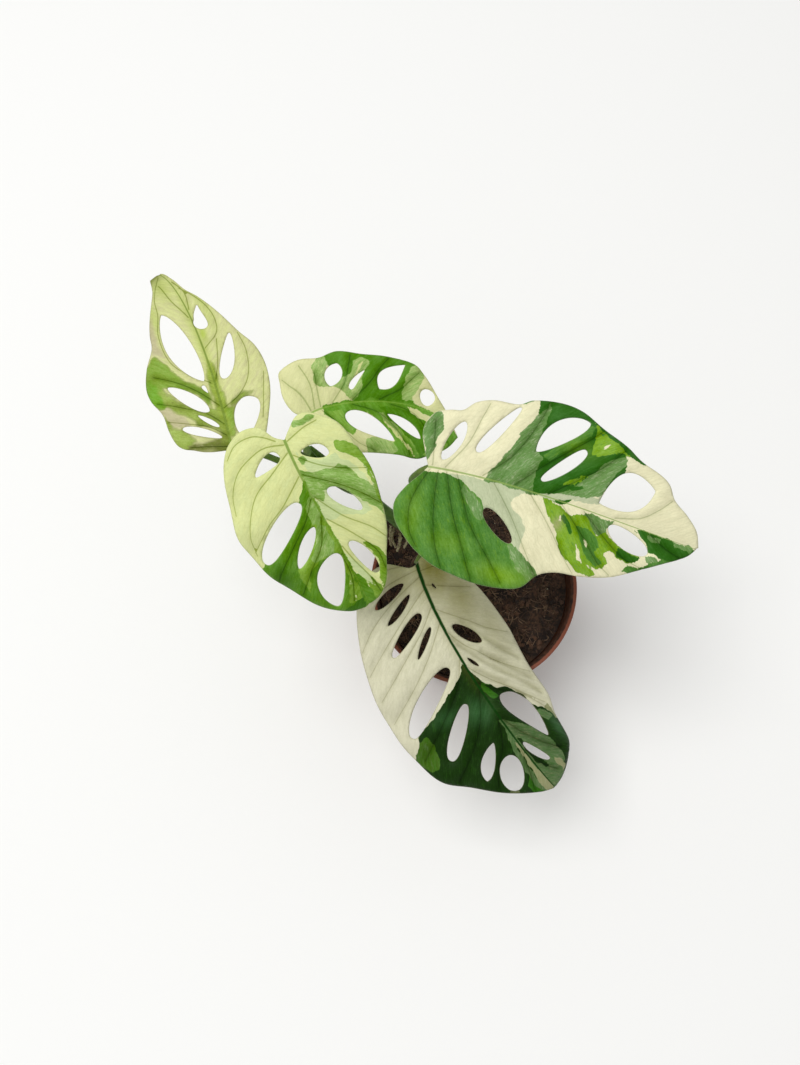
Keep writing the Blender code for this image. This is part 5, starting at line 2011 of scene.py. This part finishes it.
@dataclass
class Studio:
    """The pale floor, the soft lights and the camera, which looks steeply down.

    The lamp's and the floor's own sizes and places are metres, as they are part of the room.
    """

    camera_place: Spot = (-43.1, -142.0, 640.2)
    camera_pitch: float = 72.0
    nearest: float = 20.0
    focal_pixels: float = 944.0
    image_height: float = 1065.0
    sensor: float = 36.0
    floor_reach: float = 3.0
    floor_height: float = -0.0002
    floor_colour: Colour = (244, 244, 242)
    room_light: float = 0.5
    lamp_size: float = 1.5
    lamp_power: float = 61.0
    lamp_place: Spot = (-0.9, 0.1, 3.0)
    lamp_target: Spot = (0.0, 0.0, 0.15)

    def build(self) -> None:
        """Make the floor, the lights and the camera."""
        self.floor()
        self.lights()
        self.camera()

    def floor(self) -> None:
        """Make the floor, just under the pot."""
        bm = bmesh.new()
        bmesh.ops.create_grid(bm, x_segments=4, y_segments=4, size=self.floor_reach,
                              matrix=Matrix.Translation((0.0, 0.0, self.floor_height)))
        floor = new_object("floor", bm)
        skin = Graph("pale floor").dress(Base_Color=linear(self.floor_colour), Roughness=0.9)
        floor.data.materials.append(skin)

    def lights(self) -> None:
        """Make the even surrounding light and one large soft lamp."""
        world = bpy.data.worlds.new("soft room")
        bpy.context.scene.world = world
        world.use_nodes = True
        background = world.node_tree.nodes["Background"]
        background.inputs["Color"].default_value = (1.0, 1.0, 1.0, 1.0)
        background.inputs["Strength"].default_value = self.room_light
        lamp = bpy.data.lights.new("soft lamp", "AREA")
        lamp.size = self.lamp_size
        lamp.energy = self.lamp_power
        holder = bpy.data.objects.new("soft lamp", lamp)
        holder.location = self.lamp_place
        aim = Vector(self.lamp_target) - Vector(self.lamp_place)
        holder.rotation_euler = aim.to_track_quat("-Z", "Y").to_euler()
        bpy.context.scene.collection.objects.link(holder)

    def camera(self) -> None:
        """Make the camera at the photograph's angle."""
        data = bpy.data.cameras.new("camera")
        data.sensor_width = self.sensor
        data.lens = self.focal_pixels * self.sensor / self.image_height
        data.clip_start = self.nearest * MM
        camera = bpy.data.objects.new("camera", data)
        camera.location = Vector(self.camera_place) * MM
        camera.rotation_euler = (math.radians(90.0 - self.camera_pitch), 0.0, 0.0)
        bpy.context.scene.collection.objects.link(camera)
        bpy.context.scene.camera = camera
        bpy.context.scene.view_settings.view_transform = "Standard"


def main() -> None:
    """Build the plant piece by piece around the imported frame."""
    logging.basicConfig(level=logging.INFO, format="%(message)s")
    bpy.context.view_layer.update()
    noise.seed_set(SEED)
    Studio().build()
    pot = Pot()
    pot.build()
    Soil(pot).build()
    Vine().build()
    stalk_skin = StemSkin("stalk skin", (88, 112, 40), (66, 90, 28), (140, 150, 96)).build()
    for stalk in STALKS:
        stalk.build(stalk_skin)
    for blade in BLADES:
        blade.build()


if __name__ == "__main__":
    main()
